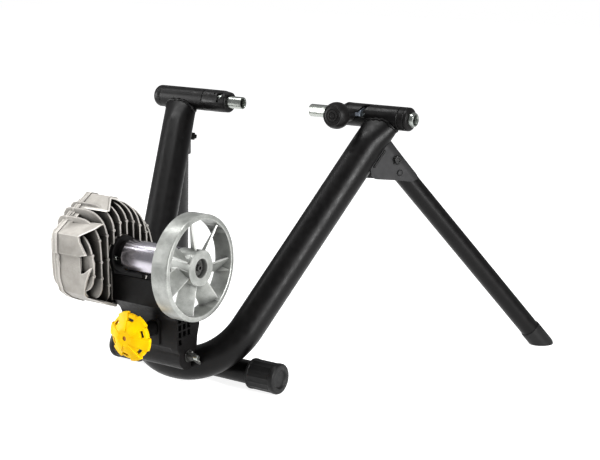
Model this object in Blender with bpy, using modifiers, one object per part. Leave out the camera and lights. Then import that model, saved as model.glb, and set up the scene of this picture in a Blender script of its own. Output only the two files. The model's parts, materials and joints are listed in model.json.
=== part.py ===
"""A folding bicycle trainer with a fluid resistance unit, its legs unfolded on the floor.

Metres, +Z up. X runs along the wheel axle towards the flywheel, -Y towards the tension knob,
and the floor is at Z = 0. The assembly empty stands on the floor under the clamp axis, so all
lengths below are measured from there.
"""

import math

import bmesh
import bpy
from mathutils import Matrix, Vector

CLEARANCE = 0.0003
ROUND_STEPS = 16
SADDLE_STEPS = 24

CLAMP_BEHIND_MIDDLE = 0.08674
AXLE_HEIGHT = 0.385

# The U-shaped frame tube. Its arms start beside the clamps and lean down, in and forward.
TUBE_RADIUS = 0.0254
TUBE_WALL = 0.0015
ARM_TOP_X = 0.1984
ARM_TOP_Y = 0.0026
TUBE_CORNER_X = 0.07899
TUBE_BOTTOM_Y = -0.27134
TUBE_BOTTOM_HEIGHT = 0.0338
TUBE_FLAT_RUN = 0.0060
ARM_OVERRUN = 0.05
ARM_PLUG = 0.045
VENT_RADIUS = 0.010
VENT_REACH = 0.06
BEAD_RADIUS = 0.0024
LEFT_BEAD_X = (-0.2042, -0.1762)
RIGHT_BEAD_X = (0.1686, 0.2124)
LUG_SIZE = 0.0085
LUG_ALONG_ARM = 0.027
LUG_TURN = math.radians(160)

# The two axle clamps on one line across the wheel.
CLAMP_RADIUS = 0.0181
CLAMP_WALL = 0.0031
NOSE_SPIGOT = 0.006
LEFT_CONE_TIP_X = 0.071
LEFT_NOSE_TIP_X = 0.097
LEFT_SEAM_X = 0.1445
LEFT_TUBE_END_X = 0.233
LEFT_CAP_END_X = 0.249
RIGHT_CONE_TIP_X = 0.063
RIGHT_NOSE_TIP_X = 0.125
RIGHT_SEAM_X = 0.135
RIGHT_TUBE_END_X = 0.2262
RIGHT_CAP_END_X = 0.2432
RIGHT_TAIL_END_X = 0.2502
CONE_RADIUS = 0.010
CONE_CUP_RADIUS = 0.0075
CONE_CUP_DEPTH = 0.012
CONE_TAIL_RADIUS = 0.0112
LEFT_CONE_LENGTH = 0.090

# The lever that draws the right cone back along a slot in its clamp.
LEVER_X = 0.1465
LEVER_RISE = math.radians(5.5)
LEVER_STEM_RADIUS = 0.0040
LEVER_TRAVEL = 0.020
LEVER_BALL_RADIUS = 0.0205
LEVER_REACH = 0.0585
SLOT_SIDE_GAP = 0.0006
SLOT_BRANCH_X = 0.1580
SLOT_CLIMB = math.radians(105)
SLOT_RUN = 0.020
SLOT_STEPS = 9

# The folding legs, each in a bracket that is welded to the arm.
PIVOT_ALONG_ARM = 0.0473
PIVOT_OFF_ARM = 0.0445
LEG_RADIUS = 0.0154
LEG_WALL = 0.0015
LEG_ABOVE_PIVOT = 0.0060
LEG_TOP_CHAMFER = 0.0015
LEG_FOOT_X = 0.3796
LEG_FOOT_Y = 0.2082
FOOT_CAP_RADIUS = 0.0167
FOOT_CAP_LENGTH = 0.036
FOOT_CAP_FLOOR = 0.016
FOOT_CAP_END = 0.014
BRACKET_HALF_WIDTH = 0.0195
BRACKET_SHEET = 0.0025
BRACKET_BEND = 0.006
BRACKET_REACH = 0.06
# The bracket's side seen square on, from its top edge at the arm round its outer edge.
BRACKET_OUTLINE = (
    (0.0235, 0.0170),
    (0.0245, 0.0217),
    (0.0405, 0.0893),
    (0.0477, 0.0929),
    (0.0590, 0.0861),
    (0.0731, 0.0620),
    (0.0916, 0.0330),
    (0.0913, 0.0242),
    (0.0836, 0.0150),
)
BRACKET_CORNERS = (0.0, 0.001, 0.003, 0.003, 0.004, 0.02, 0.005, 0.004, 0.0)
LEG_BOLT_RADIUS = 0.0040
LEG_BOLT_HEAD_RADIUS = 0.0068
LEG_BOLT_HEAD_HEIGHT = 0.0045
LEG_BOLT_TAIL = 0.010
LEG_NUT_HEIGHT = 0.0065
DIMPLE_RADIUS = 0.0040
DIMPLE_HEIGHT = 0.0008
DIMPLE_PLACE = (0.0600, 0.0607)

# The crossbar behind the frame tube, with a rubber cap on each end.
CROSSBAR_RADIUS = 0.0175
CROSSBAR_WALL = 0.0015
CROSSBAR_CAP_RADIUS = 0.0231
CROSSBAR_CAP_LENGTH = 0.050
CROSSBAR_HALF_LENGTH = 0.1575
CAP_END_WALL = 0.006
CAP_RIBS = 16
CAP_RIB_HEIGHT = 0.0009
CAP_FLAT = 0.0005

# The bolt that the resistance unit swings on, in a bracket on the frame tube.
SWING_Y = -0.3007
SWING_HEIGHT = 0.0592
SWING_BOLT_RADIUS = 0.0040
SWING_BOLT_HEAD_RADIUS = 0.0075
SWING_BOLT_HEAD_HEIGHT = 0.0055
SWING_BOLT_STUD = 0.018
SWING_SLEEVE_RADIUS = 0.0085
SWING_PLATE_SPACING = 0.012
SWING_PLATE = 0.004
EAR_RADIUS = 0.021
ROD_PIN_RADIUS = 0.0030
ROD_PIN_Y = -0.288
ROD_EYE_RADIUS = 0.0068

# The tension rod and its knob.
KNOB_HEIGHT = 0.101
ROD_RADIUS = 0.0040
ROD_END_Y = -0.3765
ROD_HOLE_RADIUS = 0.0068
KNOB_RADIUS = 0.0365
KNOB_FACE_Y = -0.388
KNOB_BACK_Y = -0.3705
KNOB_BAND = 0.0055
KNOB_LOBES = 6
KNOB_FIRST_SLOT = math.radians(78)
KNOB_LOBE_HALF_WIDTH = 0.0093
KNOB_LOBE_ROOT = (0.0095, 0.0044)
KNOB_LOBE_STEP = 0.0009
KNOB_NOTCH_DEPTH = 0.0022
KNOB_SLOT_CIRCLE = 0.0272
KNOB_SLOT_SIZE = (0.0028, 0.0076)
KNOB_BORE_RADIUS = 0.0058
KNOB_WALL = 0.0032
KNOB_BOSS_RADIUS = 0.0115

# The moulded yoke. Its edges are (y, z) points seen from the side.
YOKE_WALL = 0.004
YOKE_ROLLER_GAP = 0.0009
YOKE_FRONT_EDGE = ((-0.3430, 0.1390), (-0.3300, 0.1240), (-0.3260, 0.1160), (-0.3260, 0.0760))
YOKE_FRONT_FOOT = (-0.3225, 0.0715)
YOKE_REAR_EDGE = ((-0.2786, 0.0854), (-0.2734, 0.1009))
YOKE_LEFT_TOP = (-0.2760, 0.1250)
YOKE_RIGHT_TOP = ((-0.2734, 0.1120), (-0.2850, 0.1290), (-0.3380, 0.1420), (-0.3430, 0.1440))
YOKE_LEFT_X = -0.057
YOKE_RIGHT_X = 0.046
BOSS_DISC_RADIUS = 0.028
BOSS_DISC_THICKNESS = 0.007
BOSS_NECK_RADIUS = 0.0190
BEARING_RADIUS = 0.0140
BEARING_WIDTH = 0.008
GRID_DEPTH = 0.009
GRID_FLOOR = 0.003
UNIT_SCREW_CIRCLE = 0.0234
UNIT_SCREW_RADIUS = 0.0020
UNIT_SCREW_DEPTH = 0.006
UNIT_SCREW_ANGLES = (180, 30, 330)

# The turning line: impeller, shaft, roller and flywheel.
ROLLER_Y = -0.3227
ROLLER_HEIGHT = 0.2033
ROLLER_RADIUS = 0.0244
ROLLER_WALL = 0.0045
ROLLER_LEFT_X = -0.0375
ROLLER_RIGHT_X = 0.050
SHAFT_RADIUS = 0.0060
FLYWHEEL_RADIUS = 0.0770
FLYWHEEL_BACK_X = 0.0623
FLYWHEEL_FACE_X = 0.0910
RIM_INNER_RADIUS = 0.0695
HUB_RADIUS = 0.0265
HUB_BACK_X = 0.0545
HUB_SOCKET_RADIUS = 0.0138
HUB_SOCKET_DEPTH = 0.009
BLADES = 7
BLADE_THICKNESS = 0.0026
BLADE_FRONT_X = 0.0862
BLADE_BACK_X = 0.0665
BLADE_SWEEP_HUB = 0.014
BLADE_SWEEP_RIM = 0.023
FIRST_BLADE = math.radians(90)

# The finned housing, in two castings that meet at a seam. The corner that its fins are rounded
# to is wide and deep at the top, and small round the underside.
SEAM_X = -0.115
FIN_EDGE_X = -0.0515
FIN_RADIUS = 0.0775
FIN_THICKNESS = 0.0028
FIN_PITCH = 0.0143
FIN_COUNT = 10
FIRST_FIN_Y = -0.0642
FIN_STEPS = 48
FIN_SLACK = 0.0004
TOP_CORNER_WIDTH = 0.0325
TOP_CORNER_DEPTH = 0.0410
LOW_CORNER_WIDTH = 0.0180
LOW_CORNER_DEPTH = 0.0200
DRUM_RADIUS = 0.048
DRUM_FACE_X = -0.091
DRUM_ROUND = 0.004
NECK_RADIUS = 0.0290
CHAMBER_RADIUS = 0.041
CHAMBER_FACE_X = -0.097
SHAFT_ROOM = 0.0012
FLANGE_RADIUS = 0.0745
FLANGE_THICKNESS = 0.004
FLANGE_SPREAD = 1.018
SHROUD_WALL = 0.0035
BOSS_ROOM = 0.002
COVER_END_X = -0.134
COVER_PLATE = 0.006
COVER_CORNER = 0.012
PAD_RADIUS = 0.0026
PAD_HEIGHT = 0.0030
RIB_RADIUS = 0.0017
COVER_SCREW_RADIUS = 0.0042
COVER_SCREW_SHANK = 0.0022
COVER_SCREW_CIRCLE = 0.053
COVER_SCREW_BOSS = 0.0068
COVER_SCREW_SEAT = 0.003
IMPELLER_RADIUS = 0.038
IMPELLER_SIDE_GAP = 0.002
IMPELLER_VANES = 8

IDENTITY = Matrix.Identity(4)
TURN_TO_X = Matrix.Rotation(math.radians(90), 4, "Y")
TURN_TO_FRONT = Matrix.Rotation(math.radians(90), 4, "X")
# Maps an outline's own X and Y to Y and Z, and its thickness to X.
SIDE_ON = Matrix(((0, 0, 1, 0), (1, 0, 0, 0), (0, 1, 0, 0), (0, 0, 0, 1)))
# Maps an outline's own Y to Z, and its thickness to -Y, so that it faces the front.
FRONT_ON = Matrix(((1, 0, 0, 0), (0, 0, -1, 0), (0, 1, 0, 0), (0, 0, 0, 1)))

for leftover in list(bpy.data.objects):
    bpy.data.objects.remove(leftover, do_unlink=True)

PARTS = bpy.data.collections.new("fluid_bike_trainer")
CUTTERS = bpy.data.collections.new("cutters")
for group in (PARTS, CUTTERS):
    bpy.context.scene.collection.children.link(group)


def material(name, colour, roughness, metallic=0.0):
    made = bpy.data.materials.new(name)
    made.use_nodes = True
    shader = made.node_tree.nodes["Principled BSDF"]
    shader.inputs["Base Color"].default_value = (*colour, 1.0)
    shader.inputs["Roughness"].default_value = roughness
    shader.inputs["Metallic"].default_value = metallic
    return made


BLACK_PAINT = material("black_paint", (0.012, 0.012, 0.012), 0.45)
GREY_PAINT = material("bracket_paint", (0.03, 0.03, 0.032), 0.5)
BLACK_PLASTIC = material("black_plastic", (0.014, 0.013, 0.013), 0.55)
BLACK_RUBBER = material("black_rubber", (0.012, 0.012, 0.012), 0.8)
YELLOW_PLASTIC = material("yellow_plastic", (1.0, 0.65, 0.0), 0.35)
CAST_METAL = material("cast_aluminium", (0.56, 0.54, 0.50), 0.5, 0.8)
FLYWHEEL_METAL = material("flywheel_metal", (0.42, 0.43, 0.41), 0.45, 0.9)
POLISHED_STEEL = material("polished_steel", (0.62, 0.61, 0.64), 0.12, 1.0)
ZINC = material("zinc_plate", (0.62, 0.64, 0.58), 0.25, 1.0)
DARK_STEEL = material("dark_steel", (0.05, 0.05, 0.05), 0.4, 0.8)


# Shapes.


def add(name, mesh, finish, parent, place):
    """A mesh as a part of its own, at a place measured from its parent."""
    made = bpy.data.objects.new(name, mesh)
    made.parent = parent
    made.matrix_basis = place
    if finish:
        mesh.materials.clear()
        mesh.materials.append(finish)
    PARTS.objects.link(made)
    return made


def pivot(name, place, parent=None):
    made = bpy.data.objects.new(name, None)
    made.empty_display_size = 0.03
    made.parent = parent
    made.matrix_basis = place
    PARTS.objects.link(made)
    return made


def at(x=0.0, y=0.0, z=0.0):
    return Matrix.Translation((x, y, z))


def axes_at(origin, along, across):
    """A place whose X is along, whose Z is square to both, and whose Y is nearest to across."""
    x = along.normalized()
    z = x.cross(across).normalized()
    y = z.cross(x)
    return Matrix.Translation(origin) @ Matrix((x, y, z)).transposed().to_4x4()


def shaped(name, shape, finish, parent, place):
    mesh = bpy.data.meshes.new(name)
    bmesh.ops.recalc_face_normals(shape, faces=shape.faces)
    shape.to_mesh(mesh)
    shape.free()
    return add(name, mesh, finish, parent, place)


def box(name, low, high, finish=None, parent=None, place=IDENTITY):
    low = Vector(low)
    high = Vector(high)
    shape = bmesh.new()
    bmesh.ops.create_cube(shape, size=1.0)
    bmesh.ops.scale(shape, vec=high - low, verts=shape.verts)
    bmesh.ops.translate(shape, vec=(low + high) / 2, verts=shape.verts)
    return shaped(name, shape, finish, parent, place)


def bar(name, radius, low, high, finish=None, parent=None, place=IDENTITY, steps=16, end_radius=None):
    """A round or, with few steps, a many-sided bar along its own Z from low to high."""
    shape = bmesh.new()
    bmesh.ops.create_cone(
        shape,
        cap_ends=True,
        segments=steps,
        radius1=radius,
        radius2=radius if end_radius is None else end_radius,
        depth=high - low,
    )
    bmesh.ops.translate(shape, vec=(0, 0, (low + high) / 2), verts=shape.verts)
    return shaped(name, shape, finish, parent, place)


def turned(name, profile, finish=None, parent=None, place=IDENTITY, steps=ROUND_STEPS, ring=False):
    """A turned piece from (radius, height) points, listed from its top down its outer side."""
    mesh = bpy.data.meshes.new(name)
    points = [(radius, 0.0, height) for radius, height in profile]
    edges = [(i, i + 1) for i in range(len(points) - 1)]
    if ring:
        edges.append((len(points) - 1, 0))
    mesh.from_pydata(points, edges, [])
    made = add(name, mesh, finish, parent, place)
    screw = made.modifiers.new("turn", "SCREW")
    screw.steps = steps
    screw.render_steps = steps
    screw.use_merge_vertices = True
    screw.merge_threshold = 1e-6
    return made


def arc(centre, radius, start, end, steps):
    """Points round an arc in the plane, with its angles in degrees."""
    turns = [math.radians(start + (end - start) * i / steps) for i in range(steps + 1)]
    return [(centre[0] + radius * math.cos(t), centre[1] + radius * math.sin(t)) for t in turns]


def filleted(points, radius, steps=6, closed=False):
    """The points of a path or outline with its corners rounded; radius may be one per corner."""
    points = [Vector(p) for p in points]
    count = len(points)
    radii = list(radius) if isinstance(radius, (list, tuple)) else [radius] * count
    found = []
    for i, corner in enumerate(points):
        if (not closed and i in (0, count - 1)) or radii[i] == 0:
            found.append(corner)
            continue
        back = (points[i - 1] - corner).normalized()
        ahead = (points[(i + 1) % count] - corner).normalized()
        half = back.angle(ahead) / 2
        if half > math.radians(89.5):
            found.append(corner)
            continue
        reach = radii[i] / math.tan(half)
        centre = corner + (back + ahead).normalized() * (radii[i] / math.sin(half))
        first = corner + back * reach - centre
        last = corner + ahead * reach - centre
        sweep = first.angle(last)
        for step in range(steps + 1):
            t = step / steps
            mix = first * math.sin((1 - t) * sweep) + last * math.sin(t * sweep)
            found.append(centre + mix / math.sin(sweep))
    return found


def thinned(points, slack):
    """The points that give a line its form; those left out lie within slack of it."""
    first = Vector(points[0])
    chord = (Vector(points[-1]) - first).normalized()
    off = [abs((Vector(point) - first).cross(chord)) for point in points]
    worst = off.index(max(off))
    if off[worst] <= slack:
        return [points[0], points[-1]]
    return thinned(points[: worst + 1], slack)[:-1] + thinned(points[worst:], slack)


def ribbon(points, thickness):
    """The outline of a bent strip: the points, and back along them at its thickness to the left."""
    points = [Vector(p) for p in points]
    inner = []
    for i, point in enumerate(points):
        before = (point - points[i - 1]).normalized() if i else None
        after = (points[i + 1] - point).normalized() if i + 1 < len(points) else None
        before = before or after
        after = after or before
        normal = Vector((-before.y - after.y, before.x + after.x)).normalized()
        reach = thickness / normal.dot(Vector((-after.y, after.x)))
        inner.append(point + normal * reach)
    return points + inner[::-1]


def baked(source):
    """The mesh that a curve object makes, closed at its caps, in place of the curve."""
    bpy.context.view_layer.update()
    graph = bpy.context.evaluated_depsgraph_get()
    mesh = bpy.data.meshes.new_from_object(source.evaluated_get(graph))
    shape = bmesh.new()
    shape.from_mesh(mesh)
    bmesh.ops.remove_doubles(shape, verts=shape.verts, dist=1e-6)
    bmesh.ops.recalc_face_normals(shape, faces=shape.faces)
    shape.to_mesh(mesh)
    shape.free()
    bpy.data.objects.remove(source, do_unlink=True)
    return mesh


def plate(name, outlines, low, high, finish=None, parent=None, place=IDENTITY):
    """A flat piece between two heights; the outlines after the first are its holes."""
    curve = bpy.data.curves.new(name, "CURVE")
    curve.dimensions = "2D"
    curve.fill_mode = "BOTH"
    curve.extrude = (high - low) / 2
    for outline in outlines:
        spline = curve.splines.new("POLY")
        spline.points.add(len(outline) - 1)
        for point, where in zip(spline.points, outline):
            point.co = (where[0], where[1], 0.0, 1.0)
        spline.use_cyclic_u = True
    source = bpy.data.objects.new(name + "_outline", curve)
    PARTS.objects.link(source)
    mesh = baked(source)
    mesh.transform(Matrix.Translation((0, 0, (low + high) / 2)))
    return add(name, mesh, finish, parent, place)


def rail(name, points, radius, sides, finish=None, parent=None, place=IDENTITY):
    """A round bar that follows the points. The number of sides is even, and 4 or more."""
    curve = bpy.data.curves.new(name, "CURVE")
    curve.dimensions = "3D"
    curve.bevel_depth = radius
    curve.bevel_resolution = (sides - 4) // 2
    curve.use_fill_caps = True
    spline = curve.splines.new("POLY")
    spline.points.add(len(points) - 1)
    for point, where in zip(spline.points, points):
        point.co = (*where, 1.0)
    source = bpy.data.objects.new(name + "_path", curve)
    PARTS.objects.link(source)
    return add(name, baked(source), finish, parent, place)


def combine(target, operation, tools):
    for tool in tools:
        if tool.name not in CUTTERS.objects:
            PARTS.objects.unlink(tool)
            CUTTERS.objects.link(tool)
            tool.hide_render = True
            tool.display_type = "WIRE"
        step = target.modifiers.new(tool.name, "BOOLEAN")
        step.operation = operation
        step.solver = "EXACT"
        step.object = tool


def cut(target, *tools):
    combine(target, "DIFFERENCE", tools)


def fuse(target, *tools):
    combine(target, "UNION", tools)


def keep(target, *tools):
    combine(target, "INTERSECT", tools)


# Where things are.

assembly = pivot("assembly", at(y=CLAMP_BEHIND_MIDDLE))


def arm_points(side):
    """The top of an arm's centreline and the corner where it would meet the floor run."""
    top = Vector((side * ARM_TOP_X, ARM_TOP_Y, AXLE_HEIGHT))
    corner = Vector((side * TUBE_CORNER_X, TUBE_BOTTOM_Y, TUBE_BOTTOM_HEIGHT))
    return top, corner


def tube_path(beyond_top):
    """The frame tube's centreline, with its ends moved along the arms by beyond_top."""
    left_top, left_corner = arm_points(-1)
    right_top, right_corner = arm_points(1)
    slope = (right_top - right_corner).normalized()
    turn = slope.angle(Vector((1, 0, 0)))
    bend_radius = (right_corner.x - TUBE_FLAT_RUN / 2) / math.tan(turn / 2)
    left_slope = (left_top - left_corner).normalized()
    ends = [left_top + left_slope * beyond_top, right_top + slope * beyond_top]
    return filleted([ends[0], left_corner, right_corner, ends[1]], bend_radius, steps=8)


def leg_line(side):
    """The leg's hinge bolt and where its centreline meets the floor, with the arm's direction."""
    top, corner = arm_points(side)
    arm = (corner - top).normalized()
    foot = Vector((side * LEG_FOOT_X, LEG_FOOT_Y, 0.0))
    away = foot - top
    off_arm = (away - arm * away.dot(arm)).normalized()
    bolt = top + arm * PIVOT_ALONG_ARM + off_arm * PIVOT_OFF_ARM
    return bolt, foot, arm


def leg_place(side):
    """The leg's hinge: Z along its axis, X down the leg, with the origin at the bolt."""
    bolt, foot, arm = leg_line(side)
    return axes_at(bolt, foot - bolt, arm)


def bracket_place(side):
    """The bracket's own plane: X down the arm from the clamp axis, Y out towards the leg."""
    top, corner = arm_points(side)
    arm = (corner - top).normalized()
    return axes_at(top, arm, Vector((side * LEG_FOOT_X, LEG_FOOT_Y, 0.0)) - top)


# The frame tube.


def make_frame_tube():
    frame_tube = rail("u_frame_tube", tube_path(ARM_OVERRUN), TUBE_RADIUS, 24, BLACK_PAINT, assembly)
    reach = ARM_TOP_X + 2 * TUBE_RADIUS + ARM_OVERRUN
    above_low = (-reach, -reach, AXLE_HEIGHT)
    above = box("above_arms", above_low, (reach, reach, AXLE_HEIGHT + reach), parent=assembly)
    saddle_radius = CLAMP_RADIUS + CLEARANCE
    line = at(z=AXLE_HEIGHT) @ TURN_TO_X
    half_step = Matrix.Rotation(math.pi / SADDLE_STEPS, 4, "Z")
    saddles = bar(
        "clamp_saddles",
        saddle_radius,
        -reach,
        reach,
        parent=assembly,
        place=line @ half_step,
        steps=SADDLE_STEPS,
    )
    bore = rail("tube_bore", tube_path(-ARM_PLUG), TUBE_RADIUS - TUBE_WALL, 14, parent=assembly)
    cut(frame_tube, above, saddles, bore)
    for side, word in ((-1, "left"), (1, "right")):
        arm_place = bracket_place(side)
        along = arm_place @ TURN_TO_X
        name = "vent_" + word
        vent = bar(name, VENT_RADIUS, -VENT_REACH / 2, VENT_REACH, parent=assembly, place=along, steps=8)
        cut(frame_tube, vent)
    bead_y = -(CLAMP_RADIUS + CLEARANCE + BEAD_RADIUS)
    for word, start, end in (("left", *LEFT_BEAD_X), ("right", *RIGHT_BEAD_X)):
        path = [(start, bead_y, AXLE_HEIGHT), (end, bead_y, AXLE_HEIGHT)]
        fuse(frame_tube, rail("weld_bead_" + word, path, BEAD_RADIUS, 8, parent=assembly))
    lug_place = bracket_place(-1) @ Matrix.Rotation(LUG_TURN, 4, "X")
    half = LUG_SIZE / 2
    low = (LUG_ALONG_ARM - half, -half, TUBE_RADIUS - 0.004)
    high = (LUG_ALONG_ARM + half, half, TUBE_RADIUS + 0.0035)
    fuse(frame_tube, box("left_arm_lug", low, high, parent=assembly, place=lug_place))


# The axle clamps, drawn along their own Z, which points outward from the wheel.


def clamp_line(side):
    """The clamp's axis: Z outward from the wheel."""
    return at(z=AXLE_HEIGHT) @ Matrix.Rotation(side * math.radians(90), 4, "Y")


def make_clamp_tube(side, word, start, end):
    inner = CLAMP_RADIUS - CLAMP_WALL
    start += CLEARANCE / 2
    end -= CLEARANCE / 2
    profile = [
        (inner, end),
        (CLAMP_RADIUS - 0.0006, end),
        (CLAMP_RADIUS, end - 0.0006),
        (CLAMP_RADIUS, start + 0.0006),
        (CLAMP_RADIUS - 0.0006, start),
        (inner, start),
    ]
    name = "clamp_tube_" + word
    return turned(name, profile, BLACK_PAINT, assembly, clamp_line(side), steps=20, ring=True)


def make_nose(side, word, tip, seam, tip_radius, taper):
    """The turned nose that carries the cone, with a spigot inside the clamp tube."""
    bore = CONE_RADIUS + CLEARANCE
    spigot = CLAMP_RADIUS - CLAMP_WALL - CLEARANCE
    profile = [
        (bore, seam + NOSE_SPIGOT),
        (spigot, seam + NOSE_SPIGOT),
        (spigot, seam - CLEARANCE / 2),
        (CLAMP_RADIUS - 0.0006, seam - CLEARANCE / 2),
        (CLAMP_RADIUS, seam - 0.0012),
        (CLAMP_RADIUS, tip + taper),
        (tip_radius + 0.001, tip + 0.002),
        (tip_radius, tip + 0.0005),
        (tip_radius - 0.0008, tip),
        (bore, tip),
    ]
    name = "clamp_nose_" + word
    return turned(name, profile, BLACK_PAINT, assembly, clamp_line(side), steps=20, ring=True)


def on_clamp(side, height, angle):
    """A place on the clamp axis: Z points out through the wall, at an angle up from the front."""
    return at(x=side * height, z=AXLE_HEIGHT) @ Matrix.Rotation(math.radians(90) - angle, 4, "X")


def make_left_clamp():
    make_clamp_tube(-1, "left", LEFT_SEAM_X, LEFT_TUBE_END_X)
    nose = make_nose(-1, "left", LEFT_NOSE_TIP_X, LEFT_SEAM_X, 0.0165, 0.014)
    slope = Matrix.Rotation(math.radians(20), 4, "Y")
    bevel_place = at(x=-LEFT_NOSE_TIP_X, z=AXLE_HEIGHT + CONE_RADIUS + 0.0025) @ slope
    bevel = box("nose_bevel", (-0.05, -0.03, 0), (0.03, 0.03, 0.03), parent=assembly, place=bevel_place)
    cut(nose, bevel)
    hollow = turned(
        "nose_hollow",
        [(0.0, 0.1245), (0.0145, 0.1245), (0.0145, 0.1045), (0.0, 0.1045)],
        parent=assembly,
        place=clamp_line(-1),
        steps=16,
    )
    cut(nose, hollow)
    windows = (("small_hole", 0.1200, 50, 0.0019), ("lower_hole", 0.1110, 7, 0.0024))
    for word, height, angle, radius in windows:
        place = on_clamp(-1, height, math.radians(angle))
        cut(nose, bar("nose_" + word, radius, 0.012, 0.03, parent=assembly, place=place, steps=10))
    place = on_clamp(-1, 0.1095, math.radians(42))
    outline = [(-0.0062, 0.0030), (0.0062, 0.0052), (0.0030, -0.0060), (-0.0012, -0.0062)]
    rounded = filleted(outline, 0.0012, steps=3, closed=True)
    cut(nose, plate("nose_window", [rounded], 0.012, 0.03, parent=assembly, place=place))
    place = on_clamp(-1, 0.1108, math.radians(20))
    cut(nose, box("nose_slit", (-0.0012, -0.005, 0.012), (0.0012, 0.003, 0.03), parent=assembly, place=place))

    inner = CLAMP_RADIUS - CLAMP_WALL - CLEARANCE
    round_off = arc((CLAMP_RADIUS - 0.009, LEFT_CAP_END_X - 0.009), 0.009, 90, 0, 6)
    profile = [(0.0, LEFT_CAP_END_X)] + round_off
    profile += [
        (CLAMP_RADIUS, LEFT_TUBE_END_X + CLEARANCE / 2),
        (inner, LEFT_TUBE_END_X + CLEARANCE / 2),
        (inner, LEFT_TUBE_END_X - 0.008),
        (0.0, LEFT_TUBE_END_X - 0.008),
    ]
    turned("clamp_cap_left", profile, BLACK_PLASTIC, assembly, clamp_line(-1), steps=20)

    tail = LEFT_CONE_TIP_X + LEFT_CONE_LENGTH
    profile = [
        (0.0, tail),
        (CONE_RADIUS - 0.001, tail),
        (CONE_RADIUS, tail - 0.001),
        (CONE_RADIUS, LEFT_CONE_TIP_X + 0.001),
        (CONE_RADIUS - 0.001, LEFT_CONE_TIP_X),
        (CONE_CUP_RADIUS, LEFT_CONE_TIP_X),
        (CONE_CUP_RADIUS - 0.0004, LEFT_CONE_TIP_X + CONE_CUP_DEPTH),
        (0.0, LEFT_CONE_TIP_X + CONE_CUP_DEPTH + 0.002),
    ]
    slide = pivot("left_cone_slide", clamp_line(-1), assembly)
    turned("axle_cone_left", profile, ZINC, slide)


def make_slot_cutter():
    """The helical part of the lever's slot: a block swept up and over the clamp tube's wall."""
    half = LEVER_STEM_RADIUS + SLOT_SIDE_GAP
    inner = CONE_RADIUS + 0.002
    outer = CLAMP_RADIUS + 0.004
    shape = bmesh.new()
    low = SLOT_BRANCH_X - half
    high = SLOT_BRANCH_X + half
    corners = [(low, -inner, 0), (high, -inner, 0), (high, -outer, 0), (low, -outer, 0)]
    start = shape.faces.new([shape.verts.new(corner) for corner in corners])
    bmesh.ops.spin(
        shape,
        geom=[start, *start.edges, *start.verts],
        axis=(1, 0, 0),
        cent=(0, 0, 0),
        dvec=(SLOT_RUN / SLOT_STEPS, 0, 0),
        angle=-SLOT_CLIMB,
        steps=SLOT_STEPS,
    )
    bmesh.ops.holes_fill(shape, edges=shape.edges, sides=4)
    rise = Matrix.Rotation(-LEVER_RISE, 4, "X")
    return shaped("lever_slot_climb", shape, None, assembly, at(z=AXLE_HEIGHT) @ rise)


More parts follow.
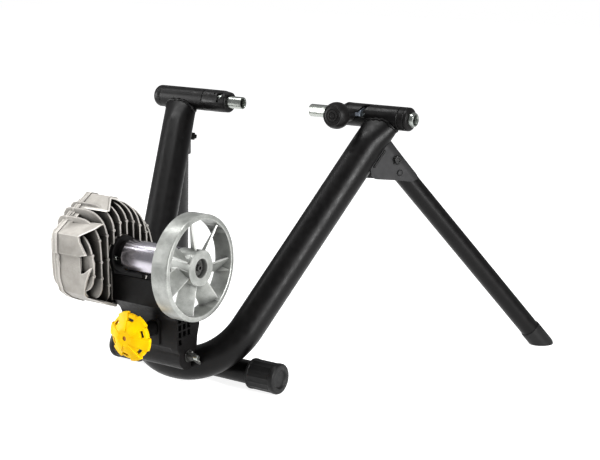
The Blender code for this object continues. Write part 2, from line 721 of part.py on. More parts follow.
def make_right_clamp():
    tube = make_clamp_tube(1, "right", RIGHT_SEAM_X, RIGHT_TUBE_END_X)
    half = LEVER_STEM_RADIUS + SLOT_SIDE_GAP
    low = (-half, -half, CONE_RADIUS + 0.002)
    high = (LEVER_TRAVEL + half, half, CLAMP_RADIUS + 0.004)
    run_place = on_clamp(1, LEVER_X, LEVER_RISE)
    run = box("lever_slot_run", low, high, parent=assembly, place=run_place)
    cut(tube, run, make_slot_cutter())
    make_nose(1, "right", RIGHT_NOSE_TIP_X, RIGHT_SEAM_X, 0.0150, 0.006)

    inner = CLAMP_RADIUS - CLAMP_WALL - CLEARANCE
    bore = CONE_RADIUS + CLEARANCE
    start = RIGHT_TUBE_END_X + CLEARANCE / 2
    groove = start + 0.0098
    end = RIGHT_CAP_END_X
    profile = [(bore, end)] + arc((CLAMP_RADIUS - 0.0045, end - 0.0045), 0.0045, 90, 0, 5)
    profile += [
        (CLAMP_RADIUS, groove + 0.0006),
        (CLAMP_RADIUS - 0.0008, groove),
        (CLAMP_RADIUS, groove - 0.0006),
        (CLAMP_RADIUS, start + 0.0008),
        (CLAMP_RADIUS - 0.0006, start),
        (inner, start),
        (inner, start - 0.008),
        (bore, start - 0.008),
    ]
    place = clamp_line(1)
    turned("clamp_cap_right", profile, BLACK_PLASTIC, assembly, place, steps=20, ring=True)

    slide = pivot("plunger_slide", clamp_line(1), assembly)
    tip = RIGHT_CONE_TIP_X
    tail = RIGHT_TAIL_END_X
    collar = RIGHT_CAP_END_X + CLEARANCE
    profile = [
        (0.0, tail - 0.012),
        (0.0078, tail - 0.012),
        (0.0080, tail),
        (CONE_TAIL_RADIUS - 0.0015, tail),
        (CONE_TAIL_RADIUS, tail - 0.0025),
        (CONE_TAIL_RADIUS, collar),
        (CONE_RADIUS, collar),
        (CONE_RADIUS, tip + 0.001),
        (CONE_RADIUS - 0.001, tip),
        (CONE_CUP_RADIUS, tip),
        (CONE_CUP_RADIUS - 0.0004, tip + CONE_CUP_DEPTH),
        (0.0, tip + CONE_CUP_DEPTH + 0.002),
    ]
    plunger = turned("axle_plunger_right", profile, ZINC, slide)
    lever_place = place.inverted() @ on_clamp(1, LEVER_X, LEVER_RISE)
    seat = LEVER_STEM_RADIUS + CLEARANCE
    hole = bar("lever_hole", seat, 0.0025, 0.03, parent=slide, place=lever_place, steps=10)
    cut(plunger, hole)
    stem_end = LEVER_REACH - 0.010
    bar("lever_stem", LEVER_STEM_RADIUS, 0.0030, stem_end, DARK_STEEL, slide, lever_place, steps=10)
    base = CLAMP_RADIUS + 0.0009
    ball = LEVER_BALL_RADIUS
    face = LEVER_REACH + 0.0140
    bore = LEVER_STEM_RADIUS + CLEARANCE
    profile = [
        (0.0, face - 0.0006),
        (0.0040, face - 0.0006),
        (0.0046, face),
        (0.0088, face - 0.0003),
        (0.0094, face - 0.0010),
    ]
    profile += arc((0.0, LEVER_REACH), ball, 41, -36, 9)
    profile += [
        (0.0128, LEVER_REACH - 0.0150),
        (0.0095, base + 0.0060),
        (0.0098, base + 0.0012),
        (0.0088, base),
        (bore, base),
        (bore, stem_end + CLEARANCE),
        (0.0, stem_end + CLEARANCE),
    ]
    turned("lever_knob", profile, BLACK_PLASTIC, slide, lever_place)


# The legs and their brackets.


def make_leg(side, word):
    place = leg_place(side)
    hinge = pivot("leg_pivot_" + word, place, assembly)
    down = TURN_TO_X
    inner = LEG_RADIUS - LEG_WALL
    bolt, foot, _ = leg_line(side)
    to_floor = (foot - bolt).length
    length = to_floor - FOOT_CAP_FLOOR
    top = LEG_ABOVE_PIVOT
    profile = [
        (inner, length),
        (LEG_RADIUS, length),
        (LEG_RADIUS, LEG_TOP_CHAMFER - top),
        (LEG_RADIUS - LEG_TOP_CHAMFER, -top),
        (inner, -top),
    ]
    leg = turned("leg_tube_" + word, profile, BLACK_PAINT, hinge, down, steps=18, ring=True)
    bolt_hole = LEG_BOLT_RADIUS + CLEARANCE
    cut(leg, bar("leg_hole_" + word, bolt_hole, -0.03, 0.03, parent=hinge, steps=10))

    cap_start = to_floor - FOOT_CAP_LENGTH
    end = to_floor + FOOT_CAP_END
    round_off = arc((FOOT_CAP_RADIUS - 0.009, end - 0.009), 0.009, 90, 0, 6)
    outer = LEG_RADIUS + CLEARANCE
    profile = [(0.0, end)] + round_off
    profile += [
        (FOOT_CAP_RADIUS, cap_start + 0.001),
        (FOOT_CAP_RADIUS - 0.0006, cap_start),
        (outer, cap_start),
        (outer, length + CLEARANCE),
        (0.0, length + CLEARANCE),
    ]
    cap = turned("leg_foot_cap_" + word, profile, BLACK_RUBBER, hinge, down, steps=18)
    floor = box("floor_" + word, (-0.5, -0.5, -0.1), (0.5, 0.5, 0.0), parent=assembly)
    cut(cap, floor)
    make_leg_bracket(side, word, place, bolt_hole)
    make_leg_bolt(word, place, bolt_hole)


def front_sign(place):
    """1 where the place's own Z points to the front of the trainer, else -1."""
    return 1 if place.col[2].y < 0 else -1


def make_leg_bracket(side, word, place, bolt_hole):
    """A folded channel round the leg's top, coped to the arm; its spine clears the turning leg."""
    sheet = BRACKET_SHEET
    half = BRACKET_HALF_WIDTH
    inside = half - sheet
    open_end = -BRACKET_REACH
    spine = math.hypot(LEG_RADIUS, LEG_ABOVE_PIVOT - LEG_TOP_CHAMFER) + CLEARANCE
    back = spine + sheet
    section = [(open_end, -half), (back, -half), (back, half), (open_end, half)]
    outer_line = filleted(section, BRACKET_BEND, steps=4)
    section = [(open_end, inside), (spine, inside), (spine, -inside), (open_end, -inside)]
    inner_line = filleted(section, BRACKET_BEND - sheet, steps=4)
    outline = outer_line + inner_line
    section_place = place @ Matrix(((0, 0, 1, 0), (-1, 0, 0, 0), (0, 1, 0, 0), (0, 0, 0, 1)))
    name = "leg_bracket_" + word
    reach = BRACKET_REACH
    channel = plate(name, [outline], -reach, reach, GREY_PAINT, assembly, section_place)
    corners = filleted(BRACKET_OUTLINE, list(BRACKET_CORNERS), steps=3, closed=True)
    arm_place = bracket_place(side)
    blank = plate("bracket_blank_" + word, [corners], -reach, reach, parent=assembly, place=arm_place)
    keep(channel, blank)
    seat = TUBE_RADIUS + CLEARANCE
    cope_place = arm_place @ TURN_TO_X
    cope = bar("bracket_cope_" + word, seat, -reach, 4 * reach, parent=assembly, place=cope_place, steps=28)
    holes = bar("bracket_hole_" + word, bolt_hole, -0.03, 0.03, parent=assembly, place=place, steps=10)
    cut(channel, cope, holes)
    front = front_sign(arm_place)
    low, high = sorted((front * (half - 0.001), front * (half + DIMPLE_HEIGHT)))
    dimple_place = arm_place @ at(*DIMPLE_PLACE)
    name = "dimple_" + word
    fuse(channel, bar(name, DIMPLE_RADIUS, low, high, parent=assembly, place=dimple_place, steps=10))


def make_leg_bolt(word, place, bolt_hole):
    """The hinge bolt with its head to the front, and its nut."""
    turn = 0.0 if front_sign(place) > 0 else math.pi
    head_place = place @ Matrix.Rotation(turn, 4, "X")
    face = BRACKET_HALF_WIDTH + CLEARANCE
    top = face + LEG_BOLT_HEAD_HEIGHT
    tail = -BRACKET_HALF_WIDTH - LEG_BOLT_TAIL
    profile = [
        (0.0, top),
        (LEG_BOLT_HEAD_RADIUS * 0.85, top),
        (LEG_BOLT_HEAD_RADIUS, top - 0.0008),
        (LEG_BOLT_HEAD_RADIUS, face),
        (LEG_BOLT_RADIUS, face),
        (LEG_BOLT_RADIUS, tail + 0.001),
        (LEG_BOLT_RADIUS - 0.0008, tail),
        (0.0, tail),
    ]
    turned("leg_bolt_" + word, profile, DARK_STEEL, assembly, head_place, steps=14)
    nut_place = head_place @ Matrix.Rotation(math.pi, 4, "X")
    nut_end = face + LEG_NUT_HEIGHT
    name = "leg_nut_" + word
    nut = bar(name, LEG_BOLT_HEAD_RADIUS, face, nut_end, DARK_STEEL, assembly, nut_place, steps=6)
    cut(nut, bar("nut_bore_" + word, bolt_hole, 0.0, 0.04, parent=assembly, place=nut_place, steps=10))


# The crossbar.


def crossbar_line():
    """The crossbar's Y and height: on the floor, and as near the frame tube's bend as it fits."""
    height = CROSSBAR_CAP_RADIUS - CAP_FLAT
    reach = TUBE_RADIUS + CROSSBAR_RADIUS + CLEARANCE
    near = [point for point in tube_path(0.0) if abs(point.z - height) < reach]
    return max(p.y + math.sqrt(reach**2 - (p.z - height) ** 2) for p in near), height


def make_crossbar():
    y, height = crossbar_line()
    place = at(y=y, z=height) @ TURN_TO_X
    half = CROSSBAR_HALF_LENGTH - CAP_END_WALL - CLEARANCE
    inner = CROSSBAR_RADIUS - CROSSBAR_WALL
    profile = [(inner, half), (CROSSBAR_RADIUS, half), (CROSSBAR_RADIUS, -half), (inner, -half)]
    turned("crossbar_tube", profile, BLACK_PAINT, assembly, place, ring=True)
    for side, word in ((-1, "left"), (1, "right")):
        make_crossbar_cap(side, word, at(y=y, z=height) @ Matrix.Rotation(side * math.pi / 2, 4, "Y"))


def make_crossbar_cap(side, word, place):
    """A ribbed rubber cap with a smooth collar at each end and a dished face."""
    start = CROSSBAR_HALF_LENGTH - CROSSBAR_CAP_LENGTH
    end = CROSSBAR_HALF_LENGTH
    core = CROSSBAR_CAP_RADIUS - CAP_RIB_HEIGHT
    bore = CROSSBAR_RADIUS + CLEARANCE
    profile = [(0.0, end - 0.0025), (0.0125, end - 0.0025), (0.0140, end - 0.0008), (0.0150, end)]
    profile += arc((CROSSBAR_CAP_RADIUS - 0.003, end - 0.003), 0.003, 90, 0, 4)
    profile += [
        (CROSSBAR_CAP_RADIUS, end - 0.008),
        (core, end - 0.009),
        (core, start + 0.005),
        (CROSSBAR_CAP_RADIUS, start + 0.004),
        (CROSSBAR_CAP_RADIUS, start + 0.001),
        (CROSSBAR_CAP_RADIUS - 0.001, start),
        (bore, start),
        (bore, end - CAP_END_WALL),
        (0.0, end - CAP_END_WALL),
    ]
    cap = turned("crossbar_cap_" + word, profile, BLACK_RUBBER, assembly, place, steps=20)
    ribs = []
    for corner in range(2 * CAP_RIBS):
        angle = math.pi * corner / CAP_RIBS
        radius = CROSSBAR_CAP_RADIUS - 0.0003 if corner % 2 else core - 0.0006
        ribs.append((radius * math.cos(angle), radius * math.sin(angle)))
    hole = arc((0.0, 0.0), CROSSBAR_RADIUS + 0.0015, 0, 324, 9)
    name = "cap_ribs_" + word
    fuse(cap, plate(name, [ribs, hole], start + 0.003, end - 0.0075, parent=assembly, place=place))
    floor = box("floor_cap_" + word, (-0.5, -0.5, -0.1), (0.5, 0.5, 0.0), parent=assembly)
    cut(cap, floor)


# The bracket, bolt and rod that hold the resistance unit to the frame tube.


def make_swing_bracket():
    foot_front = (TUBE_BOTTOM_Y - 0.022, TUBE_BOTTOM_HEIGHT + 0.004)
    foot_back = (TUBE_BOTTOM_Y + 0.012, TUBE_BOTTOM_HEIGHT + 0.004)
    outline = [foot_back]
    outline += arc((ROD_PIN_Y, KNOB_HEIGHT), ROD_PIN_RADIUS + 0.005, -20, 170, 7)
    outline += arc((SWING_Y, SWING_HEIGHT), SWING_SLEEVE_RADIUS + 0.0015, 150, 225, 4)
    outline += [foot_front]
    line = at(y=SWING_Y, z=SWING_HEIGHT) @ TURN_TO_X
    low = YOKE_LEFT_X + YOKE_WALL + CLEARANCE
    high = YOKE_RIGHT_X - GRID_DEPTH - GRID_FLOOR - CLEARANCE
    bracket = bar("pivot_bracket", SWING_SLEEVE_RADIUS, low, high, BLACK_PAINT, assembly, line)
    gap = SWING_PLATE_SPACING / 2
    for word, low in (("left", -gap - SWING_PLATE), ("right", gap)):
        name = "swing_plate_" + word
        high = low + SWING_PLATE
        fuse(bracket, plate(name, [outline], low, high, parent=assembly, place=SIDE_ON))
    seat = rail("tube_seat", tube_path(-0.1), TUBE_RADIUS + CLEARANCE, 28, parent=assembly)
    bolt_hole = SWING_BOLT_RADIUS + CLEARANCE
    bore = bar("swing_bore", bolt_hole, -0.1, 0.1, parent=assembly, place=line, steps=10)
    pin_line = at(y=ROD_PIN_Y, z=KNOB_HEIGHT) @ TURN_TO_X
    pin_bore = ROD_PIN_RADIUS + CLEARANCE
    pin_hole = bar("pin_hole", pin_bore, -0.1, 0.1, parent=assembly, place=pin_line, steps=10)
    cut(bracket, seat, bore, pin_hole)

    half = gap + SWING_PLATE
    profile = [
        (0.0, half + 0.0025),
        (ROD_PIN_RADIUS + 0.0015, half + 0.0020),
        (ROD_PIN_RADIUS + 0.0015, half + CLEARANCE),
        (ROD_PIN_RADIUS, half + CLEARANCE),
        (ROD_PIN_RADIUS, -half - 0.003),
        (0.0, -half - 0.003),
    ]
    turned("rod_pin", profile, DARK_STEEL, assembly, pin_line, steps=10)

    face = YOKE_RIGHT_X + CLEARANCE
    back = YOKE_LEFT_X - CLEARANCE
    stud = face + SWING_BOLT_STUD
    profile = [
        (0.0, stud),
        (SWING_BOLT_RADIUS - 0.0008, stud),
        (SWING_BOLT_RADIUS, stud - 0.001),
        (SWING_BOLT_RADIUS, back),
        (SWING_BOLT_HEAD_RADIUS, back),
        (SWING_BOLT_HEAD_RADIUS, back - SWING_BOLT_HEAD_HEIGHT + 0.0005),
        (0.0, back - SWING_BOLT_HEAD_HEIGHT),
    ]
    turned("pivot_bolt", profile, ZINC, assembly, line, steps=14)
    profile = [(bolt_hole, face + 0.0015), (0.009, face + 0.0015), (0.009, face), (bolt_hole, face)]
    turned("pivot_washer", profile, DARK_STEEL, assembly, line, steps=16, ring=True)
    make_wing_nut(line @ at(z=face + 0.0015 + CLEARANCE), bolt_hole)


def make_wing_nut(place, bore):
    profile = [(bore, 0.009), (0.0055, 0.009), (0.0068, 0.001), (0.0068, 0.0), (bore, 0.0)]
    nut = turned("wing_nut", profile, DARK_STEEL, assembly, place, steps=14, ring=True)
    wing = [(0.0045, 0.001), (0.0075, 0.001), (0.0165, 0.0075), (0.0160, 0.0145), (0.0105, 0.0135)]
    wing += [(0.0050, 0.0075)]
    outline = filleted(wing, [0, 0, 0.003, 0.003, 0.003, 0], steps=3, closed=True)
    for turn in (40, 220):
        spin = Matrix.Rotation(math.radians(turn), 4, "Z") @ Matrix.Rotation(math.pi / 2, 4, "X")
        fuse(nut, plate(f"wing_{turn}", [outline], -0.0013, 0.0013, parent=assembly, place=place @ spin))


def make_tension_rod(yoke_pivot):
    rod_pivot = pivot("rod_pivot", at(y=ROD_PIN_Y, z=KNOB_HEIGHT), assembly)
    forward = TURN_TO_FRONT
    length = ROD_PIN_Y - ROD_END_Y
    profile = [
        (0.0, length),
        (ROD_RADIUS - 0.0008, length),
        (ROD_RADIUS, length - 0.001),
        (ROD_RADIUS, ROD_EYE_RADIUS - 0.002),
        (0.0, ROD_EYE_RADIUS - 0.002),
    ]
    rod = turned("tension_rod", profile, ZINC, rod_pivot, forward, steps=10)
    half = SWING_PLATE_SPACING / 2 - CLEARANCE
    eye = bar("rod_eye", ROD_EYE_RADIUS, -half, half, parent=rod_pivot, place=TURN_TO_X)
    hole = ROD_PIN_RADIUS + CLEARANCE
    fuse(rod, eye)
    cut(rod, bar("rod_eye_hole", hole, -0.02, 0.02, parent=rod_pivot, place=TURN_TO_X, steps=10))
    make_knob(yoke_pivot)


def lobe_middle(lobe):
    """The way a lobe of the knob points; the slots lie half way between the lobes."""
    return KNOB_FIRST_SLOT + math.pi * (2 * lobe + 1) / KNOB_LOBES


def knob_rim():
    """The knob's outline face on: flat-ended lobes with shallow notches between them."""
    half = math.asin(KNOB_LOBE_HALF_WIDTH / KNOB_RADIUS)
    floor = KNOB_RADIUS - KNOB_NOTCH_DEPTH
    side = half + 0.02
    outline = []
    for lobe in range(KNOB_LOBES):
        for turn, radius in ((-side, floor), (-half, KNOB_RADIUS), (half, KNOB_RADIUS), (side, floor)):
            angle = lobe_middle(lobe) + turn
            outline.append((radius * math.cos(angle), radius * math.sin(angle)))
    return outline


def lobe_wedges():
    """The lobes' raised faces seen face on, each a wedge from near the hub past the rim."""
    root, root_half = KNOB_LOBE_ROOT
    tip_half = KNOB_LOBE_HALF_WIDTH
    corners = [(root, -root_half), (KNOB_RADIUS, -tip_half), (KNOB_RADIUS, tip_half), (root, root_half)]
    wedges = []
    for lobe in range(KNOB_LOBES):
        spin = Matrix.Rotation(lobe_middle(lobe), 2)
        wedges.append([spin @ Vector(corner) for corner in corners])
    return wedges


def make_knob(yoke_pivot):
    """The lobed tension knob, drawn face up along its own Z, which points to the front."""
    from_swing = at(y=KNOB_BACK_Y - SWING_Y, z=KNOB_HEIGHT - SWING_HEIGHT)
    axis = pivot("knob_axis", from_swing @ TURN_TO_FRONT, yoke_pivot)
    depth = KNOB_BACK_Y - KNOB_FACE_Y
    edge = KNOB_RADIUS - 0.0055
    wall = KNOB_WALL
    step = KNOB_LOBE_STEP
    profile = [
        (0.0034, depth - 0.0004),
        (0.0060, depth),
        (0.0130, depth - 0.0012),
        (0.0210, depth - 0.0045),
        (0.0275, depth - 0.0092),
        (edge, KNOB_BAND + 0.0010),
        (KNOB_RADIUS - 0.0012, KNOB_BAND),
        (KNOB_RADIUS, KNOB_BAND - 0.0015),
        (KNOB_RADIUS, 0.0008),
        (KNOB_RADIUS - 0.0008, 0.0),
        (edge - wall, 0.0),
        (edge - wall - 0.001, KNOB_BAND - wall),
        (0.0150, depth - 0.0020 - wall),
        (0.0125, depth - 0.0020 - wall),
        (0.0115, 0.0),
        (KNOB_BORE_RADIUS, 0.0),
        (KNOB_BORE_RADIUS, depth - 0.0045),
        (0.0034, depth - 0.0045),
    ]
    knob = turned("tension_knob", profile, YELLOW_PLASTIC, axis, steps=24, ring=True)
    profile = [
        (0.0080, depth - 0.0002 + step / 2),
        (0.0210, depth - 0.0045 + step),
        (0.0275, depth - 0.0092 + step),
        (edge, KNOB_BAND + 0.0010 + step),
        (KNOB_RADIUS + 0.0008, KNOB_BAND + step / 2),
        (KNOB_RADIUS + 0.0008, KNOB_BAND - 0.0020),
        (edge - 0.001, KNOB_BAND - 0.0020),
        (0.0265, depth - 0.0105),
        (0.0205, depth - 0.0060),
        (0.0080, depth - 0.0018),
    ]
    faces = turned("knob_lobe_faces", profile, parent=axis, steps=24, ring=True)
    keep(faces, plate("knob_lobe_wedges", lobe_wedges(), -0.01, 0.04, parent=axis))
    fuse(knob, faces)
    keep(knob, plate("knob_outline", [knob_rim()], -0.01, 0.04, parent=axis))
    across, along = KNOB_SLOT_SIZE
    for lobe in range(KNOB_LOBES):
        low = (KNOB_SLOT_CIRCLE - across / 2, -along / 2, KNOB_BAND - wall - 0.001)
        high = (KNOB_SLOT_CIRCLE + across / 2, along / 2, 0.04)
        spin = Matrix.Rotation(lobe_middle(lobe) + math.pi / KNOB_LOBES, 4, "Z")
        cut(knob, box(f"knob_slot_{lobe}", low, high, parent=axis, place=spin))


# The yoke, in places measured from the clamp axis and hung from the swing bolt.


def yoke_top():
    """The top of the yoke's front web, just under the roller."""
    return (YOKE_FRONT_EDGE[0][0], ROLLER_HEIGHT - ROLLER_RADIUS - YOKE_ROLLER_GAP)


def yoke_front():
    """The front of the yoke from the roller down round the swing bolt, as (y, z) points."""
    points = [yoke_top(), *YOKE_FRONT_EDGE, YOKE_FRONT_FOOT]
    return points + arc((SWING_Y, SWING_HEIGHT), EAR_RADIUS, 160, 262, 8)


def make_yoke(yoke_pivot):
    back_to_floor = at(y=-SWING_Y, z=-SWING_HEIGHT)
    side_on = back_to_floor @ SIDE_ON
    left = YOKE_LEFT_X
    right = YOKE_RIGHT_X
    outline = ribbon(yoke_front(), YOKE_WALL)
    yoke = plate("yoke", [outline], left + 0.001, right - 0.001, BLACK_PLASTIC, yoke_pivot, side_on)
    ear = arc((SWING_Y, SWING_HEIGHT), EAR_RADIUS, 160, 380, 14)
    boss = (ROLLER_Y, ROLLER_HEIGHT)
    left_outline = arc(boss, BOSS_DISC_RADIUS, 20, 200, 14)
    left_outline += [yoke_top(), *YOKE_FRONT_EDGE, *ear, *YOKE_REAR_EDGE, YOKE_LEFT_TOP]
    wall_end = left + YOKE_WALL
    left_wall = plate("yoke_left_wall", [left_outline], left, wall_end, parent=yoke_pivot, place=side_on)
    right_outline = [*YOKE_RIGHT_TOP, *YOKE_FRONT_EDGE, *ear, *YOKE_REAR_EDGE]
    slab = right - GRID_DEPTH - GRID_FLOOR
    right_wall = plate("yoke_right_wall", [right_outline], slab, right, parent=yoke_pivot, place=side_on)
    fuse(yoke, left_wall, right_wall)

    line = back_to_floor @ at(y=ROLLER_Y, z=ROLLER_HEIGHT) @ TURN_TO_X
    disc_end = left + BOSS_DISC_THICKNESS
    neck_end = ROLLER_LEFT_X - 0.0010
    profile = [
        (0.0, neck_end),
        (BOSS_NECK_RADIUS - 0.001, neck_end),
        (BOSS_NECK_RADIUS, neck_end - 0.001),
        (BOSS_NECK_RADIUS, disc_end),
        (BOSS_DISC_RADIUS - 0.001, disc_end),
        (BOSS_DISC_RADIUS, disc_end - 0.001),
        (BOSS_DISC_RADIUS, left),
        (0.0, left),
    ]
    fuse(yoke, turned("yoke_boss", profile, parent=yoke_pivot, place=line))
    knob_line = back_to_floor @ at(z=KNOB_HEIGHT) @ TURN_TO_FRONT
    boss_end = -KNOB_BACK_Y - CLEARANCE
    fuse(yoke, bar("knob_boss", KNOB_BOSS_RADIUS, 0.3245, boss_end, parent=yoke_pivot, place=knob_line))
    low = (0.0118, -0.3285, 0.078)
    high = (0.0142, -0.3240, 0.116)
    fuse(yoke, box("yoke_ridge", low, high, parent=yoke_pivot, place=back_to_floor))

    neck_bore = BEARING_RADIUS + CLEARANCE
    far = ROLLER_LEFT_X + 0.01
    cut(yoke, bar("bearing_bore", neck_bore, -0.1, far, parent=yoke_pivot, place=line, steps=18))
    bolt_bore = SWING_BOLT_RADIUS + CLEARANCE
    cut(yoke, bar("yoke_bolt_bore", bolt_bore, -0.1, 0.1, parent=yoke_pivot, place=TURN_TO_X, steps=10))
    cut(yoke, bar("rod_hole", ROD_HOLE_RADIUS, 0.29, 0.39, parent=yoke_pivot, place=knob_line, steps=14))
    room = TUBE_RADIUS + 0.0040
    tube_room = rail("tube_room", tube_path(-0.1), room, 32, parent=yoke_pivot, place=back_to_floor)
    cut(yoke, tube_room)
    make_grid(yoke, yoke_pivot, back_to_floor)

    for word, end in (("outer", left + BEARING_WIDTH + 0.0004), ("inner", neck_end - CLEARANCE)):
        start = end - BEARING_WIDTH
        bore = SHAFT_RADIUS + CLEARANCE
        profile = [
            (bore, end),
            (bore + 0.002, end),
            (bore + 0.0022, end - 0.0006),
            (BEARING_RADIUS - 0.0022, end - 0.0006),
            (BEARING_RADIUS - 0.002, end),
            (BEARING_RADIUS, end),
            (BEARING_RADIUS, start),
            (bore, start),
        ]
        turned("bearing_" + word, profile, DARK_STEEL, yoke_pivot, line, steps=18, ring=True)
    return yoke


def make_grid(yoke, yoke_pivot, back_to_floor):
    """Pockets in the right wall, left out where they would reach the ear or the rear web."""
    pocket_y = 0.0065
    pocket_z = 0.0085
    count = 0
    for column in range(4):
        for row in range(4):
            y = -0.3222 + column * 0.0102
            z = 0.1130 - row * 0.0110
            centre = Vector((y + pocket_y / 2, z + pocket_z / 2))
            low_corner = Vector((y + pocket_y, z))
            if (low_corner - Vector((SWING_Y, SWING_HEIGHT))).length < EAR_RADIUS + 0.003:
                continue
            if z < 0.0780 or centre.x + (0.1200 - centre.y) * 0.55 > -0.2830:
                continue
            pocket = box(
                f"pocket_{count}",
                (YOKE_RIGHT_X - GRID_DEPTH, y, z),
                (YOKE_RIGHT_X + 0.01, y + pocket_y, z + pocket_z),
                parent=yoke_pivot,
                place=back_to_floor,
            )
            cut(yoke, pocket)
            count += 1


# The turning line.


def make_rotor(yoke_pivot):
    from_swing = at(y=ROLLER_Y - SWING_Y, z=ROLLER_HEIGHT - SWING_HEIGHT)
    axle = pivot("roller_axle", from_swing @ TURN_TO_X, yoke_pivot)
    shaft_bore = SHAFT_RADIUS + CLEARANCE
    inner = ROLLER_RADIUS - ROLLER_WALL
    profile = [
        (shaft_bore, ROLLER_RIGHT_X),
        (ROLLER_RADIUS - 0.0015, ROLLER_RIGHT_X),
        (ROLLER_RADIUS, ROLLER_RIGHT_X - 0.0015),
        (ROLLER_RADIUS, ROLLER_LEFT_X + 0.0012),
        (ROLLER_RADIUS - 0.0012, ROLLER_LEFT_X),
        (inner, ROLLER_LEFT_X),
        (inner, ROLLER_RIGHT_X - 0.008),
        (shaft_bore + 0.005, ROLLER_RIGHT_X - 0.008),
        (shaft_bore + 0.005, ROLLER_LEFT_X + 0.010),
        (shaft_bore, ROLLER_LEFT_X + 0.010),
    ]
    turned("roller", profile, POLISHED_STEEL, axle, steps=24, ring=True)
    shaft_end = FLYWHEEL_FACE_X - HUB_SOCKET_DEPTH - CLEARANCE
    chamber_end = SEAM_X + 0.006
    profile = [
        (0.0, shaft_end),
        (SHAFT_RADIUS, shaft_end),
        (SHAFT_RADIUS, chamber_end),
        (0.0, chamber_end),
    ]
    shaft = turned("roller_shaft", profile, POLISHED_STEEL, axle, steps=16)
    tap = bar("shaft_tap", 0.0040 + CLEARANCE, shaft_end - 0.016, shaft_end + 0.01, parent=axle, steps=10)
    cut(shaft, tap)
    make_flywheel(axle)
    make_impeller(axle)


def make_flywheel(axle):
    face = FLYWHEEL_FACE_X
    back = FLYWHEEL_BACK_X
    radius = FLYWHEEL_RADIUS
    inner = RIM_INNER_RADIUS
    profile = [
        (inner, face - 0.0006),
        (inner + 0.0008, face),
        (radius - 0.0022, face),
        (radius - 0.0006, face - 0.0008),
        (radius, face - 0.0024),
        (radius, back + 0.0015),
        (radius - 0.0015, back),
        (inner - 0.0010, back),
    ]
    flywheel = turned("flywheel", profile, FLYWHEEL_METAL, axle, steps=32, ring=True)
    bore = SHAFT_RADIUS + CLEARANCE
    floor = face - HUB_SOCKET_DEPTH
    profile = [
        (bore, floor),
        (HUB_SOCKET_RADIUS - 0.0006, floor),
        (HUB_SOCKET_RADIUS, face - 0.0008),
        (HUB_SOCKET_RADIUS + 0.0008, face),
        (HUB_RADIUS - 0.0015, face),
        (HUB_RADIUS, face - 0.0015),
        (HUB_RADIUS - 0.0015, HUB_BACK_X + 0.0015),
        (HUB_RADIUS - 0.0030, HUB_BACK_X),
        (bore, HUB_BACK_X),
    ]
    hub = turned("flywheel_hub", profile, parent=axle, steps=24, ring=True)
    for blade in range(BLADES):
        fuse(hub, make_blade(blade, axle))
    fuse(flywheel, hub)
    screw = floor + CLEARANCE
    profile = [
        (0.0, screw + 0.0035),
        (0.0022, screw + 0.0035),
        (0.0026, screw + 0.0062),
        (0.0046, screw + 0.0062),
        (0.0050, screw + 0.0056),
        (0.0050, screw + 0.0016),
        (0.0090, screw + 0.0016),
        (0.0092, screw),
        (0.0040, screw),
        (0.0040, screw - 0.0150),
        (0.0, screw - 0.0150),
    ]
    turned("flywheel_bolt", profile, ZINC, axle, steps=16)


def make_blade(index, axle):
    """A pitched blade from hub to rim, whose back edge trails its front edge round the axis."""
    start = FIRST_BLADE + 2 * math.pi * index / BLADES
    rows = 4
    columns = 3
    inner = HUB_RADIUS - 0.004
    outer = RIM_INNER_RADIUS + 0.003
    shape = bmesh.new()
    grid = []
    for row in range(rows + 1):
        part = row / rows
        radius = inner + (outer - inner) * part
        sweep = (BLADE_SWEEP_HUB + (BLADE_SWEEP_RIM - BLADE_SWEEP_HUB) * part) / radius
        line = []
        for column in range(columns + 1):
            t = column / columns
            angle = start - sweep * t
            x = BLADE_FRONT_X + (BLADE_BACK_X - BLADE_FRONT_X) * t
            line.append(shape.verts.new((radius * math.cos(angle), radius * math.sin(angle), x)))
        grid.append(line)
    for lower, upper in zip(grid, grid[1:]):
        for column in range(columns):
            shape.faces.new((lower[column], lower[column + 1], upper[column + 1], upper[column]))
    blade = shaped(f"blade_{index}", shape, None, axle, IDENTITY)
    thicken = blade.modifiers.new("thickness", "SOLIDIFY")
    thicken.thickness = BLADE_THICKNESS
    thicken.offset = 0.0
    return blade


def make_impeller(axle):
    """The vaned disc that stirs the fluid, on the shaft's end inside the chamber."""
    middle = (SEAM_X + CHAMBER_FACE_X) / 2
    half = (CHAMBER_FACE_X - SEAM_X) / 2 - IMPELLER_SIDE_GAP
    bore = SHAFT_RADIUS + CLEARANCE
    hub = bore + 0.005
    profile = [
        (bore, middle + half),
        (hub, middle + half),
        (hub, middle + 0.002),
        (IMPELLER_RADIUS, middle + 0.0015),
        (IMPELLER_RADIUS, middle - 0.0015),
        (hub, middle - 0.002),
        (hub, middle - half),
        (bore, middle - half),
    ]
    impeller = turned("impeller", profile, CAST_METAL, axle, steps=20, ring=True)
    for vane in range(IMPELLER_VANES):
        spin = Matrix.Rotation(2 * math.pi * vane / IMPELLER_VANES, 4, "Z")
        low = (hub - 0.002, -0.0010, middle - half + 0.0005)
        high = (IMPELLER_RADIUS - 0.001, 0.0010, middle + half - 0.0005)
        fuse(impeller, box(f"vane_{vane}", low, high, parent=axle, place=spin))


# The finned housing, drawn round the roller's axis: Y and Z from it, X as in the frame.

# The shroud's outer corners round the axis as (y, z), from the top down to the underside.
SHROUD_SECTION = (
    (0.0140, 0.0800),
    (-0.0003, 0.0841),
    (-0.0741, 0.0385),
    (-0.0755, 0.0105),
    (-0.0720, 0.0065),
    (-0.0715, -0.0280),
    (-0.0650, -0.0500),
    (-0.0500, -0.0620),
    (-0.0270, -0.0730),
    (0.0060, -0.0775),
)

